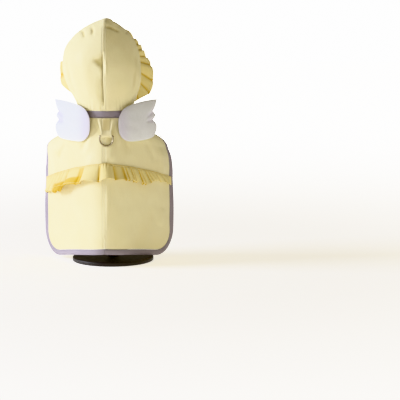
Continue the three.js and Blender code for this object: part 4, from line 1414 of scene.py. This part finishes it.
@dataclass(frozen=True)
class Stand:
    """The limbless dress form, its post and the round base."""

    base_radius: float = 72.5
    base_height: float = 7.0
    base_edge: float = 1.5
    post_radius: float = 9.0
    post_edge: float = 0.6
    gap: float = 0.3
    form_bottom: float = 40.0
    crown_rise: float = 3.0
    rows: RowTable = RowTable(
        ("height", "middle_y", "half_width", "back", "front"),
        (
            (40, 4, 30, 28, 30), (46, 4, 44, 43, 46), (60, 4, 54, 55, 58), (85, 4, 59, 61, 65),
            (130, 4, 60, 61, 67), (175, 2, 59, 58, 66), (210, -2, 56, 53, 58), (232, -7, 49, 47, 49),
            (250, -11, 44.4, 44.4, 44.4), (280, -11, 44.4, 44.4, 42), (300, -12, 49, 46, 41),
            (330, -13, 56, 49, 44), (358, -13, 57, 47, 45), (382, -13, 48, 39, 41), (402, -13, 31, 25, 30),
            (413, -13, 14, 11, 14),
        ),
    )

    def form(self, material: Material) -> None:
        """Builds the form's cloth-covered body and head."""
        top = self.rows.rows[-1][0]
        t = np.linspace(0, 1, 121)
        height = turned(self.form_bottom, top, (t + smooth(t)) / 2)
        row = self.rows.at(height)
        turn = np.linspace(0, 2 * math.pi, 121)
        depth = np.where(np.cos(turn)[None, :] < 0, row["back"][:, None], row["front"][:, None])
        x = row["half_width"][:, None] * np.sin(turn)[None, :]
        y = row["middle_y"][:, None] + depth * np.cos(turn)[None, :]
        body = np.stack([x, y, height[:, None] + 0 * x], axis=-1)
        body[:, -1] = body[:, 0]
        foot = np.tile(np.array([0.0, row["middle_y"][0], height[0]]), (1, len(turn), 1))
        crown = np.tile(np.array([0.0, row["middle_y"][-1], top + self.crown_rise]), (1, len(turn), 1))
        points = HOOD.swayed(np.concatenate([foot, body, crown]))
        walked = lengths_along(points, 0)
        flat = np.stack([(turn * 55)[None, :] + 0 * walked, walked], axis=-1)
        piece = finished(grid_object(FORM_PIECE, points, flat), 60.0)
        settled(piece, material, "form", "dress_form")

    def foot(self, material: Material) -> None:
        """Builds the post and the base, with rounded edges."""
        round_edge = [math.radians(a) for a in range(-90, 91, 15)]
        r, h, e = self.base_radius, self.base_height, self.base_edge
        low = [(r - e + e * math.cos(a), e + e * math.sin(a)) for a in round_edge if a <= 0]
        high = [(r - e + e * math.cos(a), h - e + e * math.sin(a)) for a in round_edge if a >= 0]
        base = spun("base_plate", ((0, 0), *low, *high, (0, h)), 128)
        settled(base, material, "stand", "base_disc")
        lower, upper, p = h + self.gap, self.form_bottom - self.gap, self.post_radius
        half = [(0, lower), (p - self.post_edge, lower), (p, lower + self.post_edge)]
        profile = (*half, *((r, lower + upper - z) for r, z in reversed(half)))
        settled(spun("form_post", profile, 64), material, "stand", "post")


@dataclass(frozen=True)
class Lamp:
    """A soft square light that looks at the coat's middle, at the height aim. Lengths in metres."""

    name: str
    place: tuple[float, float, float]
    size: float
    power: float
    colour: Colour
    aim: float = 0.22

    def build(self) -> None:
        """Adds the light."""
        light = bpy.data.lights.new(self.name, "AREA")
        light.size, light.energy, light.color = self.size, self.power, self.colour
        holder = linked(self.name, light)
        holder.location = self.place
        aim = Vector((0, 0, self.aim)) - Vector(self.place)
        holder.rotation_euler = aim.to_track_quat("-Z", "Y").to_euler()


@dataclass(frozen=True)
class Studio:
    """White paper floor and sky, soft light and camera. Lengths in metres."""

    camera_place: tuple[float, float, float] = (0.15624, -2.55979, 0.46791)
    camera_tilt: float = 82.0
    lens: float = 130.0
    sensor: float = 36.0
    sky: Colour = (1.0, 0.91, 0.73)
    sky_light: float = 0.31
    sky_seen: float = 6.0
    floor_glow: Colour = (0.67, 0.645, 0.58)
    lamps: tuple[Lamp, ...] = (
        Lamp("key_light", (-3.1, -0.3, 1.15), 1.2, 126, (0.92, 0.985, 1.22)),
        Lamp("warm_fill", (0.6, -2.9, 1.0), 1.6, 5, (1.0, 0.86, 0.62)),
    )

    def glow(self, paper: Material) -> None:
        """Lets the floor fade into the white sky where it is far off."""
        w = Wiring(paper.node_tree)
        shader = paper.node_tree.nodes["Principled BSDF"]
        reach = w.add("ShaderNodeVectorMath", operation="LENGTH")
        w.feed(reach.inputs[0], w.add("ShaderNodeTexCoord").outputs["Object"])
        far = w.ramp(reach.outputs["Value"], 0.35, 3.0)
        far = w.math("MULTIPLY", far, w.add("ShaderNodeLightPath").outputs["Is Camera Ray"])
        glow = w.mix(far, (*self.floor_glow, 1), (self.sky_seen,) * 3 + (1,))
        w.fed(shader, {"Emission Color": glow, "Emission Strength": 1.0})

    def build(self) -> None:
        """Sets up the studio."""
        bpy.context.scene.view_settings.view_transform = "Khronos PBR Neutral"
        bm = bmesh.new()
        bmesh.ops.create_grid(bm, x_segments=1, y_segments=1, size=8.0)
        floor = piece_of("studio_floor", bm)
        paper = FLOOR_PAPER.material()
        self.glow(paper)
        floor.data.materials.append(paper)
        world = bpy.data.worlds.new("studio_sky")
        bpy.context.scene.world = world
        world.use_nodes = True
        w = Wiring(world.node_tree)
        sky = world.node_tree.nodes["Background"]
        seen = w.add("ShaderNodeLightPath").outputs["Is Camera Ray"]
        strength = w.math("MULTIPLY_ADD", seen, self.sky_seen - self.sky_light, self.sky_light)
        w.fed(sky, {"Color": w.mix(seen, (*self.sky, 1), (1.0, 1.0, 1.0, 1)), "Strength": strength})
        for lamp in self.lamps:
            lamp.build()
        camera = bpy.data.cameras.new("camera")
        camera.lens, camera.sensor_width = self.lens, self.sensor
        holder = linked("camera", camera)
        holder.location = self.camera_place
        holder.rotation_euler = (math.radians(self.camera_tilt), 0, 0)
        bpy.context.scene.camera = holder


def main() -> None:
    """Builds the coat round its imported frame."""
    logging.basicConfig(level=logging.INFO, format="%(name)s: %(message)s")
    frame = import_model()
    grain = Grain(weave_group(), crumple_group(), stitch_group())
    Studio().build()

    panel_cloth = RAIN_CLOTH.material(grain, "panel", (StitchRow(2.6), StitchRow(79.5, down=False)))
    hood_cloth = RAIN_CLOTH.material(grain, "hood", (StitchRow(2.6),))
    tab_cloth = TAB_CLOTH.material(grain, "ring", (StitchRow(-7.4), StitchRow(7.4)))
    tape_cloth = BIAS_TAPE.material(grain, "edge", (StitchRow(-3.6), StitchRow(3.6)))
    collar_cloth = BIAS_TAPE.material(grain, "collar", (StitchRow(-4.6), StitchRow(4.6)))
    back_rows = (StitchRow(1.8, down=False), StitchRow(29.2, down=False))
    hood_rows = (StitchRow(1.8, down=False), StitchRow(34.0, down=False))
    back_frill = RUFFLE_CLOTH.material(grain, "back", back_rows)
    hood_frill = RUFFLE_CLOTH.material(grain, "hood", hood_rows)
    wing_cloth = WING_CLOTH.material(grain, "pad")

    stand = Stand()
    stand.form(FORM_COVER.material(grain, "jersey"))
    stand.foot(STAND_LACQUER.material())
    for side in Side:
        Cape().panel(side, panel_cloth)
        EdgeBinding().half(side, tape_cloth)
        Hood().half(side, hood_cloth)
        Wing().build(side, wing_cloth)
    Collar().build(collar_cloth)
    BackRuffle().build(back_frill)
    HoodRuffle().build(hood_frill)
    holder = RingAndTab()
    holder.ring(RING_METAL.material())
    holder.tab(tab_cloth)

    snap_metal = SNAP_METAL.material()
    for name in ("snap_cap", "snap_socket", "snap_stud", "snap_plate"):
        mesh = frame["nodes"][name].data
        mesh.materials.clear()
        mesh.materials.append(snap_metal)
        LOG.info("%s: finished as packed", name)


if __name__ == "__main__":
    main()
